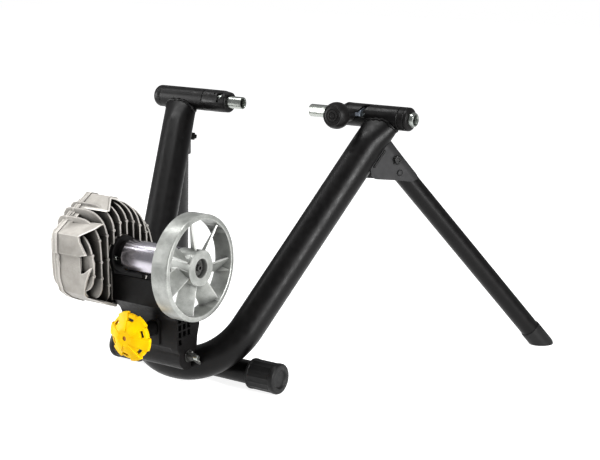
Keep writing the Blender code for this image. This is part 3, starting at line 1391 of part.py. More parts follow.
# The shroud's free edge seen from the front as (x, z), from the top of its roof down: the roof,
# the gap under it, the hood, the slab, the low wall with its tongue, and the underside.
SHROUD_EDGE = (
    (-0.0767, 0.0900),
    (-0.0767, 0.0830),
    (-0.0590, 0.0674),
    (-0.1030, 0.0673),
    (-0.1022, 0.0510),
    (-0.0687, 0.0534),
    (-0.0503, 0.0539),
    (-0.0550, 0.0483),
    (-0.0724, 0.0383),
    (-0.0703, 0.0301),
    (-0.0585, 0.0125),
    (-0.0680, 0.0105),
    (-0.0725, 0.0080),
    (-0.0720, -0.0165),
    (-0.0660, -0.0150),
    (-0.0525, -0.0050),
    (-0.0716, -0.0460),
    (-0.0748, -0.0560),
    (-0.0560, -0.0590),
    (-0.0490, -0.0610),
    (-0.0490, -0.0900),
)

# Pads on the fins' free edges, each as its fin and its height from the axis.
PADS = (
    (0, 0.0105),
    (0, -0.0194),
    (1, 0.0299),
    (1, -0.0016),
    (1, -0.0256),
    (2, 0.0348),
    (2, -0.0006),
    (2, -0.0390),
    (3, 0.0400),
    (3, -0.0443),
    (4, 0.0483),
    (5, 0.0479),
    (6, 0.0444),
    (7, 0.0362),
    (8, 0.0226),
    (9, 0.0284),
)


def fin_edge(y, z):
    """The X of the fins' free edges at a place round the axis, where their corner rounds off."""
    radius = max(math.hypot(y, z), 1e-6)
    upper = math.sqrt(max(z, 0.0) / radius)
    width = LOW_CORNER_WIDTH + (TOP_CORNER_WIDTH - LOW_CORNER_WIDTH) * upper
    depth = LOW_CORNER_DEPTH + (TOP_CORNER_DEPTH - LOW_CORNER_DEPTH) * upper
    into = min(max(radius - (FIN_RADIUS - width), 0.0) / width, 1.0)
    return FIN_EDGE_X - depth * (1 - math.sqrt(1 - into**2))


def cover_fin_edge(y, z):
    """The X of the free edges of the cover's fins at a place round the axis."""
    into = max(math.hypot(y, z) - (FIN_RADIUS - COVER_CORNER), 0.0) / COVER_CORNER
    return COVER_END_X + COVER_CORNER * (1 - math.sqrt(1 - min(into, 1.0) ** 2))


def fin_outline(y, seam, edge):
    """One fin's outline as (x, z) points, from the seam up and over its free edge."""
    half = math.sqrt(FIN_RADIUS**2 - y**2)
    heights = [half * math.cos(math.pi * step / FIN_STEPS) for step in range(FIN_STEPS + 1)]
    free = [(edge(y, z), z) for z in heights]
    return [(seam, -half), (seam, half)] + thinned(free, FIN_SLACK)


def make_housing(yoke_pivot):
    centre = at(y=ROLLER_Y - SWING_Y, z=ROLLER_HEIGHT - SWING_HEIGHT)
    line = centre @ TURN_TO_X
    side_on = centre @ SIDE_ON
    seam = SEAM_X + CLEARANCE / 2
    front = YOKE_LEFT_X - CLEARANCE
    bore = SHAFT_RADIUS + SHAFT_ROOM
    profile = [
        (bore, front),
        (NECK_RADIUS - 0.001, front),
        (NECK_RADIUS, front - 0.001),
        (NECK_RADIUS, DRUM_FACE_X),
        (DRUM_RADIUS - DRUM_ROUND, DRUM_FACE_X),
        (DRUM_RADIUS, DRUM_FACE_X - DRUM_ROUND),
        (DRUM_RADIUS + 0.001, seam + FLANGE_THICKNESS),
        (FLANGE_RADIUS, seam + FLANGE_THICKNESS),
        (FLANGE_RADIUS, seam),
        (CHAMBER_RADIUS, seam),
        (CHAMBER_RADIUS, CHAMBER_FACE_X),
        (bore, CHAMBER_FACE_X),
    ]
    housing = turned("housing_body", profile, CAST_METAL, yoke_pivot, line, ring=True)

    wall = (DRUM_FACE_X - CHAMBER_FACE_X) / 2
    neck_inside = (NECK_RADIUS + bore) / 2
    drum_inside = DRUM_RADIUS - wall
    inside = [(0.0, 0.0), (neck_inside, 0.0), (neck_inside, DRUM_FACE_X - wall)]
    inside += [(drum_inside, DRUM_FACE_X - wall), (drum_inside, -0.2), (0.0, -0.2)]
    hollow = turned("fin_hollow", inside, parent=yoke_pivot, place=line)
    wall_room = make_wall_room(yoke_pivot, centre)
    for fin in range(FIN_COUNT):
        y = FIRST_FIN_Y + fin * FIN_PITCH
        outline = fin_outline(y, seam, fin_edge)
        place = centre @ at(y=y) @ FRONT_ON
        half = FIN_THICKNESS / 2
        fin_plate = plate(f"fin_{fin}", [outline], -half, half, parent=yoke_pivot, place=place)
        cut(fin_plate, hollow, wall_room)
        fuse(housing, fin_plate)

    section = ribbon(SHROUD_SECTION, SHROUD_WALL)
    shroud = plate("shroud", [section], seam, FIN_EDGE_X + 0.005, parent=yoke_pivot, place=side_on)
    seen = [(seam - 0.01, -0.09)] + [(seam - 0.01, 0.09)] + list(SHROUD_EDGE)
    front_view = plate("shroud_front", [seen], -0.02, 0.11, parent=yoke_pivot, place=centre @ FRONT_ON)
    keep(shroud, front_view)
    cut(shroud, wall_room)
    fuse(housing, shroud)
    spread = [(y * FLANGE_SPREAD, z * FLANGE_SPREAD) for y, z in SHROUD_SECTION]
    rim = ribbon(spread, SHROUD_WALL + 0.004)
    flange = plate("seam_flange", [rim], seam, seam + 0.003, parent=yoke_pivot, place=side_on)
    fuse(housing, flange)
    make_ribs(housing, yoke_pivot, centre, wall_room)
    make_cover(housing, yoke_pivot, line, centre, side_on)
    make_unit_screws(housing, yoke_pivot, line)


def make_wall_room(yoke_pivot, centre):
    """The space that the fins leave round the yoke's boss and its left wall."""
    boss = arc((0.0, 0.0), BOSS_DISC_RADIUS + BOSS_ROOM, 10, 190, 12)
    below = [(-0.0320, -0.026), (-0.0225, -0.066), (-0.0225, -0.12), (0.0525, -0.12), (0.0525, -0.080)]
    outline = boss + below
    low = YOKE_LEFT_X - BOSS_ROOM
    return plate("wall_room", [outline], low, 0.05, parent=yoke_pivot, place=centre @ SIDE_ON)


def make_ribs(housing, yoke_pivot, centre, wall_room):
    """Round ribs along the fins, each ending in a pad on the fin's free edge."""
    for number, (fin, z) in enumerate(PADS):
        y = FIRST_FIN_Y + fin * FIN_PITCH
        place = centre @ at(y=y, z=z) @ TURN_TO_X
        end = fin_edge(y, z) + 0.0008
        pad_start = end - PAD_HEIGHT
        root = DRUM_FACE_X - DRUM_ROUND
        rib_end = pad_start + 0.001
        rib = bar(f"rib_{number}", RIB_RADIUS, root, rib_end, parent=yoke_pivot, place=place, steps=4)
        pad = bar(f"pad_{number}", PAD_RADIUS, pad_start, end, parent=yoke_pivot, place=place, steps=6)
        for piece in (rib, pad):
            cut(piece, wall_room)
            fuse(housing, piece)


def make_cover(housing, yoke_pivot, line, centre, side_on):
    seam = SEAM_X - CLEARANCE / 2
    plate_end = seam - COVER_PLATE
    dome_end = COVER_END_X + 0.006
    profile = [
        (0.0, seam),
        (FLANGE_RADIUS, seam),
        (FLANGE_RADIUS, plate_end),
        (DRUM_RADIUS - 0.004, plate_end),
        (DRUM_RADIUS - 0.010, dome_end),
        (0.014, dome_end - 0.002),
        (0.0, dome_end - 0.002),
    ]
    cover = turned("housing_cover", profile, CAST_METAL, yoke_pivot, line, steps=20)
    for fin in range(FIN_COUNT):
        y = FIRST_FIN_Y + fin * FIN_PITCH
        outline = fin_outline(y, seam, cover_fin_edge)
        place = centre @ at(y=y) @ FRONT_ON
        half = FIN_THICKNESS / 2
        fuse(cover, plate(f"cover_fin_{fin}", [outline], -half, half, parent=yoke_pivot, place=place))
    outer = [(y * FLANGE_SPREAD, z * FLANGE_SPREAD) for y, z in SHROUD_SECTION]
    rim = plate("cover_rim", [ribbon(outer, 0.008)], plate_end, seam, parent=yoke_pivot, place=side_on)
    fuse(cover, rim)
    for number, degrees in enumerate((45, 135, 225, 315)):
        angle = math.radians(degrees)
        y = COVER_SCREW_CIRCLE * math.cos(angle)
        z = COVER_SCREW_CIRCLE * math.sin(angle)
        outward = Matrix.Rotation(math.pi, 4, "X")
        make_cover_screw(number + 1, housing, cover, centre @ at(y=y, z=z) @ TURN_TO_X @ outward, yoke_pivot)


def make_cover_screw(number, housing, cover, place, yoke_pivot):
    """A screw through the cover into the body, on a boss; its Z points out of the cover."""
    joint = -SEAM_X + CLEARANCE / 2
    seat = joint + COVER_PLATE + COVER_SCREW_SEAT
    name = f"screw_boss_{number}"
    boss = bar(name, COVER_SCREW_BOSS, joint, seat, parent=yoke_pivot, place=place, steps=10)
    fuse(cover, boss)
    tip = -SEAM_X - 0.003
    shank = COVER_SCREW_SHANK
    name = f"screw_hole_{number}"
    hole = bar(name, shank + CLEARANCE, tip - 0.012, seat + 0.01, parent=yoke_pivot, place=place, steps=8)
    name = f"screw_room_{number}"
    head_room = COVER_SCREW_RADIUS + 0.0006
    room = bar(name, head_room, seat, seat + 0.03, parent=yoke_pivot, place=place, steps=10)
    cut(cover, hole, room)
    cut(housing, hole)
    face = seat + CLEARANCE
    profile = [
        (0.0, face + 0.0025),
        (COVER_SCREW_RADIUS - 0.001, face + 0.0025),
        (COVER_SCREW_RADIUS, face + 0.0015),
        (COVER_SCREW_RADIUS, face),
        (shank, face),
        (shank, tip),
        (0.0, tip),
    ]
    turned(f"cover_screw_{number}", profile, ZINC, yoke_pivot, place, steps=10)


def make_unit_screws(housing, yoke_pivot, line):
    """Cap screws that hold the housing to the yoke's boss, at angles up from the rear."""
    for number, degrees in enumerate(UNIT_SCREW_ANGLES):
        angle = math.radians(degrees)
        place = line @ Matrix.Rotation(angle + math.pi / 2, 4, "Z") @ at(x=UNIT_SCREW_CIRCLE)
        face = YOKE_LEFT_X + BOSS_DISC_THICKNESS + CLEARANCE
        tip = YOKE_LEFT_X - UNIT_SCREW_DEPTH
        profile = [
            (0.0, face + 0.0030),
            (0.0016, face + 0.0030),
            (0.0018, face + 0.0055),
            (0.0029, face + 0.0055),
            (0.0033, face + 0.0050),
            (0.0033, face),
            (UNIT_SCREW_RADIUS, face),
            (UNIT_SCREW_RADIUS, tip),
            (0.0, tip),
        ]
        turned(f"unit_screw_{number + 1}", profile, ZINC, yoke_pivot, place, steps=10)
        bore = UNIT_SCREW_RADIUS + CLEARANCE
        name = f"unit_hole_{number}"
        hole = bar(name, bore, tip - 0.0005, 0.0, parent=yoke_pivot, place=place, steps=8)
        cut(housing, hole)
        cut(bpy.data.objects["yoke"], hole)


def merge_flats(mesh):
    """Joins the faces that lie in one plane, and the edges that lie on one line."""
    shape = bmesh.new()
    shape.from_mesh(mesh)
    bmesh.ops.remove_doubles(shape, verts=shape.verts, dist=2e-6)
    bmesh.ops.dissolve_limit(shape, angle_limit=0.0005, verts=shape.verts, edges=shape.edges)
    shape.to_mesh(mesh)
    shape.free()


def settle():
    """Gives each part the mesh that its modifiers make, shaded smooth up to its sharp edges."""
    bpy.context.view_layer.update()
    graph = bpy.context.evaluated_depsgraph_get()
    parts = [part for part in PARTS.objects if part.type == "MESH"]
    made = {part: bpy.data.meshes.new_from_object(part.evaluated_get(graph)) for part in parts}
    for part, mesh in made.items():
        finish = part.data.materials[0]
        part.modifiers.clear()
        mesh.materials.clear()
        mesh.materials.append(finish)
        merge_flats(mesh)
        mesh.shade_smooth()
        mesh.set_sharp_from_angle(angle=math.radians(32))
        part.data = mesh
        mesh.name = part.name


def main():
    make_frame_tube()
    make_left_clamp()
    make_right_clamp()
    for side, word in ((-1, "left"), (1, "right")):
        make_leg(side, word)
    make_crossbar()
    make_swing_bracket()
    yoke_pivot = pivot("yoke_pivot", at(y=SWING_Y, z=SWING_HEIGHT), assembly)
    make_tension_rod(yoke_pivot)
    make_yoke(yoke_pivot)
    make_rotor(yoke_pivot)
    make_housing(yoke_pivot)
    settle()


main()
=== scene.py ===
"""The looks of a folding bicycle trainer: its finishes, fine surfaces, floor, lights and camera."""

import json
import math

import bmesh
import bpy
from mathutils import Matrix, Vector

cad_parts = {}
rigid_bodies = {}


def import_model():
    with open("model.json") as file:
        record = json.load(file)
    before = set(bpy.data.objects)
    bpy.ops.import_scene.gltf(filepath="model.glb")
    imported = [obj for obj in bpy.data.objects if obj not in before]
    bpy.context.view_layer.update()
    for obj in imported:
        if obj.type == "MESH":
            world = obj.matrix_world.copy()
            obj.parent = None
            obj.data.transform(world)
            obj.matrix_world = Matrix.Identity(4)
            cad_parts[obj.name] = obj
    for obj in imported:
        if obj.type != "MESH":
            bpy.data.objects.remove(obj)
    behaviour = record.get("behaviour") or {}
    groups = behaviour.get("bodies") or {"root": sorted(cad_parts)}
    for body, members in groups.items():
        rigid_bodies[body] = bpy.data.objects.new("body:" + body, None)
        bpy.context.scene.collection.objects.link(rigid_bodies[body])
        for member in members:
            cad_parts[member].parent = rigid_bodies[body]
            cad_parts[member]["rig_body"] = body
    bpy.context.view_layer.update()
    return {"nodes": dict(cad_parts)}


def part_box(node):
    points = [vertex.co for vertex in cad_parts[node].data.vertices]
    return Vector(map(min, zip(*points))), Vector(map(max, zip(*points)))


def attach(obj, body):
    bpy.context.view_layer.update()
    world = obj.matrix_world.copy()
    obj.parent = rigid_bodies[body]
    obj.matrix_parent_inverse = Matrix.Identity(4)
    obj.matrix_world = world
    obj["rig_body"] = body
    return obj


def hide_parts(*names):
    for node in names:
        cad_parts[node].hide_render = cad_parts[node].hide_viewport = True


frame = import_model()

NODES = frame["nodes"]
BODY = {name: node["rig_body"] for name, node in NODES.items()}
SLOT = {name: node.data.materials[0].name for name, node in NODES.items()}
SIDES = ((-1, "left"), (1, "right"))


# Finishes. Every texture reads object coordinates, in metres.

MIX_COLOURS = (6, 7)
MIX_RESULT = 2
OPENNESS_SAMPLES = 8


class Finish:
    """A procedural material: one Principled shader and the nodes that feed it."""

    def __init__(self, name, roughness, metallic=0.0, **sockets):
        self.material = bpy.data.materials.new(name)
        self.material.use_nodes = True
        self.tree = self.material.node_tree
        self.shader = self.tree.nodes["Principled BSDF"]
        self.shader.inputs["Roughness"].default_value = roughness
        self.shader.inputs["Metallic"].default_value = metallic
        for socket, value in sockets.items():
            self.shader.inputs[socket.replace("_", " ")].default_value = value
        self.place = self.tree.nodes.new("ShaderNodeTexCoord").outputs["Object"]
        self.relief = None

    def feed(self, socket, source):
        self.tree.links.new(source, self.shader.inputs[socket])

    def noise(self, scale, detail=3.0, stretch=(1, 1, 1)):
        """Noise that is drawn out along the ways in which the stretch is small."""
        mapping = self.tree.nodes.new("ShaderNodeMapping")
        mapping.inputs["Scale"].default_value = stretch
        self.tree.links.new(self.place, mapping.inputs["Vector"])
        texture = self.tree.nodes.new("ShaderNodeTexNoise")
        texture.inputs["Scale"].default_value = scale
        texture.inputs["Detail"].default_value = detail
        self.tree.links.new(mapping.outputs["Vector"], texture.inputs["Vector"])
        return texture.outputs["Fac"]

    def spread(self, source, low, high, start=0.35, end=0.65):
        """The source from start to end, spread from low to high."""
        node = self.tree.nodes.new("ShaderNodeMapRange")
        node.inputs["From Min"].default_value = start
        node.inputs["From Max"].default_value = end
        node.inputs["To Min"].default_value = low
        node.inputs["To Max"].default_value = high
        self.tree.links.new(source, node.inputs["Value"])
        return node.outputs["Result"]

    def mix(self, factor, first, second):
        """A colour between two colours or colour sources."""
        node = self.tree.nodes.new("ShaderNodeMix")
        node.data_type = "RGBA"
        self.tree.links.new(factor, node.inputs["Factor"])
        for index, colour in zip(MIX_COLOURS, (first, second)):
            if isinstance(colour, tuple):
                node.inputs[index].default_value = (*colour, 1.0)
            else:
                self.tree.links.new(colour, node.inputs[index])
        return node.outputs[MIX_RESULT]

    def bump(self, height, depth, strength):
        """A relief of a depth in metres, on top of the reliefs made before it."""
        node = self.tree.nodes.new("ShaderNodeBump")
        node.inputs["Strength"].default_value = strength
        node.inputs["Distance"].default_value = depth
        self.tree.links.new(height, node.inputs["Height"])
        if self.relief:
            self.tree.links.new(self.relief, node.inputs["Normal"])
        self.relief = node.outputs["Normal"]
        self.feed("Normal", self.relief)

    def openness(self, distance, inside=False, alone=False):
        """1 on open faces, less in corners and gaps, or near sharp edges when seen from inside."""
        node = self.tree.nodes.new("ShaderNodeAmbientOcclusion")
        node.samples = OPENNESS_SAMPLES
        node.inside = inside
        node.only_local = alone
        node.inputs["Distance"].default_value = distance
        return node.outputs["AO"]


def darker(tone, share):
    return tuple(share * channel for channel in tone)


def satin_paint(name, tone, worn, roughness):
    """Powder coat: fine orange peel and a little cloudiness."""
    paint = Finish(name, roughness, Specular_IOR_Level=0.17)
    cloud = paint.spread(paint.noise(scale=38, detail=4.0), 0.0, 1.0)
    paint.feed("Base Color", paint.mix(cloud, tone, worn))
    paint.feed("Roughness", paint.spread(paint.noise(scale=110), roughness - 0.05, roughness + 0.07))
    paint.bump(paint.noise(scale=650, detail=2.0), depth=0.000012, strength=0.3)
    paint.bump(paint.noise(scale=2600, detail=2.0), depth=0.000003, strength=0.3)
    return paint.material


def moulded(name, tone, pale, gap, roughness, grain, depth, **sockets):
    """Moulded plastic or rubber with a fine eroded grain, and painted shade down its holes and gaps."""
    plastic = Finish(name, roughness, **sockets)
    cloud = plastic.spread(plastic.noise(scale=55, detail=4.0), 0.0, 1.0)
    # Painted shade: the colour turns to the gap tone where ambient occlusion finds holes and gaps.
    painted_hole_shade = plastic.spread(plastic.openness(distance=0.008), 0.0, 1.0, start=0.30, end=0.62)
    plastic.feed("Base Color", plastic.mix(painted_hole_shade, gap, plastic.mix(cloud, tone, pale)))
    wear = plastic.spread(plastic.noise(scale=240), roughness - 0.06, roughness + 0.08)
    plastic.feed("Roughness", wear)
    plastic.bump(plastic.noise(scale=grain), depth, strength=0.5)
    plastic.bump(plastic.noise(scale=70, detail=2.0), depth * 2, strength=0.12)
    return plastic.material


def cast(name, tone, pale, gap, edge_highlight, roughness, shade_reach, metallic=0.3):
    """A sand-blasted casting: speckled and cloudy, with painted shade in its gaps and painted highlights
    on its sharp edges.
    """
    metal = Finish(name, roughness, metallic)
    cloud = metal.spread(metal.noise(scale=60, detail=5.0), 0.0, 1.0)
    speckle = metal.spread(metal.noise(scale=1500), 0.0, 0.6)
    stain = metal.spread(metal.noise(scale=24, detail=6.0), 0.0, 0.5, start=0.52, end=0.72)
    # Painted highlight: a pale tone laid along sharp convex edges, found by ambient occlusion from
    # inside.
    edge = metal.spread(metal.openness(distance=0.0024, inside=True), 0.95, 0.0, start=0.45, end=0.88)
    # Painted shade: the gap tone laid in gaps and recesses, found by ambient occlusion out to the shade
    # reach.
    gap_shade_mask = metal.spread(metal.openness(distance=shade_reach), 0.0, 1.0, start=0.30, end=0.90)
    face = metal.mix(cloud, tone, pale)
    face = metal.mix(speckle, face, darker(tone, 0.80))
    face = metal.mix(stain, face, darker(tone, 0.62))
    face = metal.mix(edge, face, edge_highlight)
    metal.feed("Base Color", metal.mix(gap_shade_mask, gap, face))
    metal.feed("Roughness", metal.spread(metal.noise(scale=420), roughness - 0.08, roughness + 0.10))
    metal.bump(metal.noise(scale=900, detail=4.0), depth=0.00010, strength=0.5)
    metal.bump(metal.noise(scale=160), depth=0.00030, strength=0.3)
    return metal.material


def plated(name, tone, pale, roughness, metallic=1.0, stretch=(1, 1, 1), grain=900, **sockets):
    """Bare or plated metal with fine marks that a stretch draws out, and painted shade down its holes.
    """
    metal = Finish(name, roughness, metallic, **sockets)
    wide_stretch = tuple(0.25 + 0.75 * share for share in stretch)
    cloud = metal.spread(metal.noise(scale=45, stretch=wide_stretch), 0.0, 1.0)
    # Painted shade: the colour turns near black where ambient occlusion finds holes and cups.
    painted_hole_shade = metal.spread(metal.openness(distance=0.012, alone=True), 0.0, 1.0, start=0.30, end=0.62)
    metal.feed("Base Color", metal.mix(painted_hole_shade, darker(tone, 0.03), metal.mix(cloud, tone, pale)))
    drawn = metal.noise(scale=grain, detail=2.0, stretch=stretch)
    metal.feed("Roughness", metal.spread(drawn, 0.97 * roughness, 1.03 * roughness))
    return metal.material


# Each gap tone is painted shade in holes and gaps; each edge highlight tone is a painted highlight on
# sharp edges.
FINISHES = {
    "black_paint": satin_paint(
        "satin_black", tone=(0.0016, 0.0014, 0.0015), worn=(0.0026, 0.0023, 0.0023), roughness=0.37
    ),
    "bracket_paint": satin_paint(
        "satin_grey", tone=(0.019, 0.0187, 0.0195), worn=(0.025, 0.0247, 0.0255), roughness=0.50
    ),
    "black_plastic": moulded(
        "black_moulding",
        tone=(0.0048, 0.0044, 0.0044),
        pale=(0.0072, 0.0066, 0.0066),
        gap=(0.002, 0.002, 0.002),
        roughness=0.40,
        grain=1400,
        depth=0.00003,
        Specular_IOR_Level=0.14,
    ),
    "black_rubber": moulded(
        "black_rubber_skin",
        tone=(0.0050, 0.0050, 0.0050),
        pale=(0.0080, 0.0080, 0.0080),
        gap=(0.002, 0.002, 0.002),
        roughness=0.46,
        grain=1700,
        depth=0.00004,
        Specular_IOR_Level=0.22,
    ),
    "yellow_plastic": moulded(
        "yellow_moulding",
        tone=(1.0, 0.56, 0.0),
        pale=(1.0, 0.62, 0.0),
        gap=(0.020, 0.005, 0.0),
        roughness=0.44,
        grain=900,
        depth=0.000004,
        Specular_IOR_Level=0.08,
        Subsurface_Weight=0.08,
        Subsurface_Scale=0.004,
    ),
    "cast_aluminium": cast(
        "cast_housing",
        tone=(0.345, 0.325, 0.295),
        pale=(0.455, 0.43, 0.395),
        gap=(0.012, 0.010, 0.008),
        edge_highlight=(0.80, 0.765, 0.715),
        roughness=0.42,
        shade_reach=0.030,
    ),
    "flywheel_metal": cast(
        "cast_wheel",
        tone=(0.29, 0.30, 0.28),
        pale=(0.49, 0.50, 0.475),
        gap=(0.03, 0.03, 0.029),
        edge_highlight=(0.78, 0.79, 0.76),
        roughness=0.36,
        shade_reach=0.014,
        metallic=0.45,
    ),
    "polished_steel": plated(
        "polished_roller",
        tone=(0.42, 0.40, 0.45),
        pale=(0.56, 0.54, 0.59),
        roughness=0.25,
        stretch=(1, 0.06, 0.06),
        grain=260,
    ),
    "zinc_plate": plated(
        "zinc_plating",
        tone=(0.31, 0.33, 0.31),
        pale=(0.40, 0.42, 0.39),
        roughness=0.27,
        stretch=(0.06, 1, 1),
        grain=260,
    ),
    "dark_steel": plated(
        "black_oxide",
        tone=(0.006, 0.006, 0.006),
        pale=(0.012, 0.012, 0.012),
        roughness=0.34,
        metallic=0.3,
        Specular_IOR_Level=0.25,
    ),
}
BLUED_SLEEVE = plated(
    "blued_sleeve", tone=(0.46, 0.52, 0.62), pale=(0.56, 0.62, 0.72), roughness=0.36, metallic=0.6
)
# Painted shade: a darker orange copy of the knob's yellow, for the plug that stands for the shade down
# its centre hole.
KNOB_HOLE_SHADE = moulded(
    "knob_hole_painted_shade",
    tone=(0.42, 0.12, 0.0),
    pale=(0.50, 0.15, 0.0),
    gap=(0.30, 0.08, 0.0),
    roughness=0.5,
    grain=900,
    depth=0.000004,
)
DULL_ZINC = plated(
    "dull_zinc", tone=(0.035, 0.035, 0.033), pale=(0.09, 0.09, 0.085), roughness=0.36, metallic=0.7
)
OWN_FINISHES = {node: DULL_ZINC for node in ("wing_nut", "pivot_washer", "flywheel_bolt")}


# Shapes.

SAME_POINT = 1e-6
SAME_RING_POINT = 2e-6
SAME_CIRCLE = 3e-5
SAME_HEIGHT = 1e-4
RADIUS_SLACK = 1e-5
SMALLEST_CIRCLE = 0.0015
CHORD_STEP = math.radians(4)
WIDEST_CHORD = math.radians(46)
TURN_STEPS = 96
SMALL_STEPS = 32
CRISP_ANGLE = 28
FLAT_ANGLE = math.radians(1.0)
SOFT_ANGLE = 32
SOFT_WIDTH = 0.0004
DRESSED = set()


def dressed(piece, node):
    """Puts a finished piece in a node's place: on its body, and in its finish."""
    slot = SLOT[node]
    piece.data.materials.clear()
    piece.data.materials.append(OWN_FINISHES.get(node, FINISHES[slot]))
    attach(piece, BODY[node])
    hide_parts(node)
    DRESSED.add(node)


def extra(piece, body, slot, finish=None):
    """Puts a small piece that replaces no node on a body, in a slot's finish or one of its own."""
    piece.data.materials.append(finish or FINISHES[slot])
    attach(piece, body)


def along(direction, point):
    """A turning line: its direction and a point on it."""
    return Vector(direction).normalized(), Vector(point)


def about(line, point):
    """A point's distance along a line, and its arm out from the line."""
    direction, origin = line
    offset = point - origin
    height = offset.dot(direction)
    return height, offset - direction * height


def chord_angle(edge, line):
    """The angle that a facet's edge spans on a circle round the line, or 0 if it is no chord of one."""
    (first_height, first), (second_height, second) = (about(line, corner.co) for corner in edge.verts)
    radii = (first.length, second.length)
    if abs(first_height - second_height) > SAME_CIRCLE or max(radii) - min(radii) > SAME_CIRCLE:
        return 0.0
    if min(radii) < SMALLEST_CIRCLE:
        return 0.0
    return first.angle(second)


def round_out(shape, line):
    """Breaks each wide chord round the line into short ones that lie on its circle."""
    direction, point = line
    chords = {}
    for edge in shape.edges:
        angle = chord_angle(edge, line)
        if 1.5 * CHORD_STEP < angle < WIDEST_CHORD:
            chords.setdefault(round(angle / CHORD_STEP), []).append(edge)
    for parts, edges in chords.items():
        places = [about(line, edge.verts[0].co) for edge in edges]
        radii = sorted((arm.length, height) for height, arm in places)
        made = bmesh.ops.subdivide_edges(shape, edges=edges, cuts=parts - 1, use_grid_fill=False)
        for corner in {item for item in made["geom_inner"] if isinstance(item, bmesh.types.BMVert)}:
            height, arm = about(line, corner.co)
            level = [radius for radius, place in radii if abs(place - height) < SAME_HEIGHT]
            near = [radius for radius in level if radius >= arm.length - RADIUS_SLACK]
            widest = arm.length / math.cos(0.5 * parts * CHORD_STEP)
            if near:
                radius = min(near, key=lambda value: abs(value - 0.5 * (arm.length + widest)))
                corner.co = point + direction * height + arm.normalized() * radius


def skin(rows, looped=False):
    """A closed skin over rings of points. The end rings are filled, or joined where it is looped."""
    shape = bmesh.new()
    rings = [[shape.verts.new(point) for point in row] for row in rows]
    pairs = list(zip(rings, rings[1:]))
    if looped:
        pairs.append((rings[-1], rings[0]))
    for first, second in pairs:
        for here, there in zip(range(-1, len(first) - 1), range(len(first))):
            shape.faces.new((first[here], first[there], second[there], second[here]))
    if not looped:
        shape.faces.new(rings[0])
        shape.faces.new(rings[-1])
    bmesh.ops.remove_doubles(shape, verts=shape.verts, dist=SAME_RING_POINT)
    bmesh.ops.recalc_face_normals(shape, faces=shape.faces)
    return shape


def turned(profile, line, steps=TURN_STEPS):
    """The rings of a turned form, from points that hold a radius and a distance along the line."""
    direction, point = line
    first = direction.orthogonal().normalized()
    second = direction.cross(first)
    rows = []
    for radius, height in profile:
        row = []
        for step in range(steps):
            angle = 2 * math.pi * step / steps
            arm = first * math.cos(angle) + second * math.sin(angle)
            row.append(point + direction * height + arm * max(radius, SAME_POINT))
        rows.append(row)
    return rows


def arc(centre, radius, start, end, steps):
    """Points on a circle's arc, between two angles in degrees."""
    angles = [math.radians(start + (end - start) * step / steps) for step in range(steps + 1)]
    return [(centre[0] + radius * math.cos(t), centre[1] + radius * math.sin(t)) for t in angles]


def linked(name, shape):
    """A shape as an object of the scene. The shape is used up."""
    mesh = bpy.data.meshes.new(name)
    shape.to_mesh(mesh)
    shape.free()
    piece = bpy.data.objects.new(name, mesh)
    bpy.context.scene.collection.objects.link(piece)
    return piece


def formed(name, shape, angle=35, edges=0.0, parts=3, hardened=False):
    """A smooth object, sharp where it turns by more than the angle, with edges rounded to a width."""
    piece = linked(name, shape)
    piece.data.shade_smooth()
    piece.data.set_sharp_from_angle(angle=math.radians(angle))
    if edges:
        bevel = piece.modifiers.new("edges", "BEVEL")
        bevel.width = edges
        bevel.segments = parts
        bevel.limit_method = "ANGLE"
        bevel.angle_limit = math.radians(angle)
        bevel.harden_normals = hardened
    if edges and not hardened:
        normals = piece.modifiers.new("normals", "WEIGHTED_NORMAL")
        normals.keep_sharp = True
    return piece


def block(matrix):
    """A cube with sides of 1, put through a matrix."""
    shape = bmesh.new()
    bmesh.ops.create_cube(shape, size=1.0)
    bmesh.ops.transform(shape, matrix=matrix, verts=shape.verts)
    return shape


def cut_away(piece, shape):
    """Takes a shape out of a piece for good."""
    cutter = linked("cutter", shape)
    cutting = piece.modifiers.new("cut", "BOOLEAN")
    cutting.operation = "DIFFERENCE"
    cutting.solver = "EXACT"
    cutting.object = cutter
    bpy.context.view_layer.update()
    seen = piece.evaluated_get(bpy.context.evaluated_depsgraph_get())
    whole = bpy.data.meshes.new_from_object(seen)
    piece.modifiers.remove(cutting)
    piece.data = whole
    bpy.data.objects.remove(cutter)


def solid_of(node):
    """A node's solid as a shape, with each flat face in one piece."""
    shape = bmesh.new()
    shape.from_mesh(NODES[node].data)
    bmesh.ops.remove_doubles(shape, verts=shape.verts, dist=SAME_POINT)
    bmesh.ops.dissolve_limit(shape, angle_limit=FLAT_ANGLE, verts=shape.verts, edges=shape.edges)
    return shape


def softened(node):
    """A copy of a node's solid with its round faces rounder and its edges rounded."""
    shape = solid_of(node)
    lines = LINES.get(node, ())
    for line in lines:
        round_out(shape, line)
    hardened = bool(lines) and node != "yoke"
    dressed(formed(node + "_fine", shape, SOFT_ANGLE, SOFT_WIDTH, parts=2, hardened=hardened), node)


def smooth_step(value):
    value = min(max(value, 0.0), 1.0)
    return value * value * (3 - 2 * value)


def mirrored(point, side):
    return Vector((side * point.x, point.y, point.z))


# Places that the pieces share.

CLAMP_PLACE = (0.0, 0.08674, 0.385)
ROLLER_PLACE = (0.0, -0.23596, 0.2033)
SWING_PLACE = (0.0, -0.21396, 0.0592)
KNOB_HEIGHT = 0.101
LEVER_X = 0.1465
LEVER_RISE = math.radians(5.5)
ARM_TOP = Vector((0.1984, 0.08934, 0.385))
ARM_CORNER = Vector((0.07899, -0.1846, 0.0338))
LEG_TOP = Vector((0.20697, 0.08851, 0.3206))
LEG_FOOT = Vector((0.3796, 0.29494, 0.0))


def middle_of(node):
    low, high = (Vector(corner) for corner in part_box(node))
    return (low + high) / 2


def leg_way(side):
    top, foot = (mirrored(point, side) for point in (LEG_TOP, LEG_FOOT))
    return along(foot - top, top)


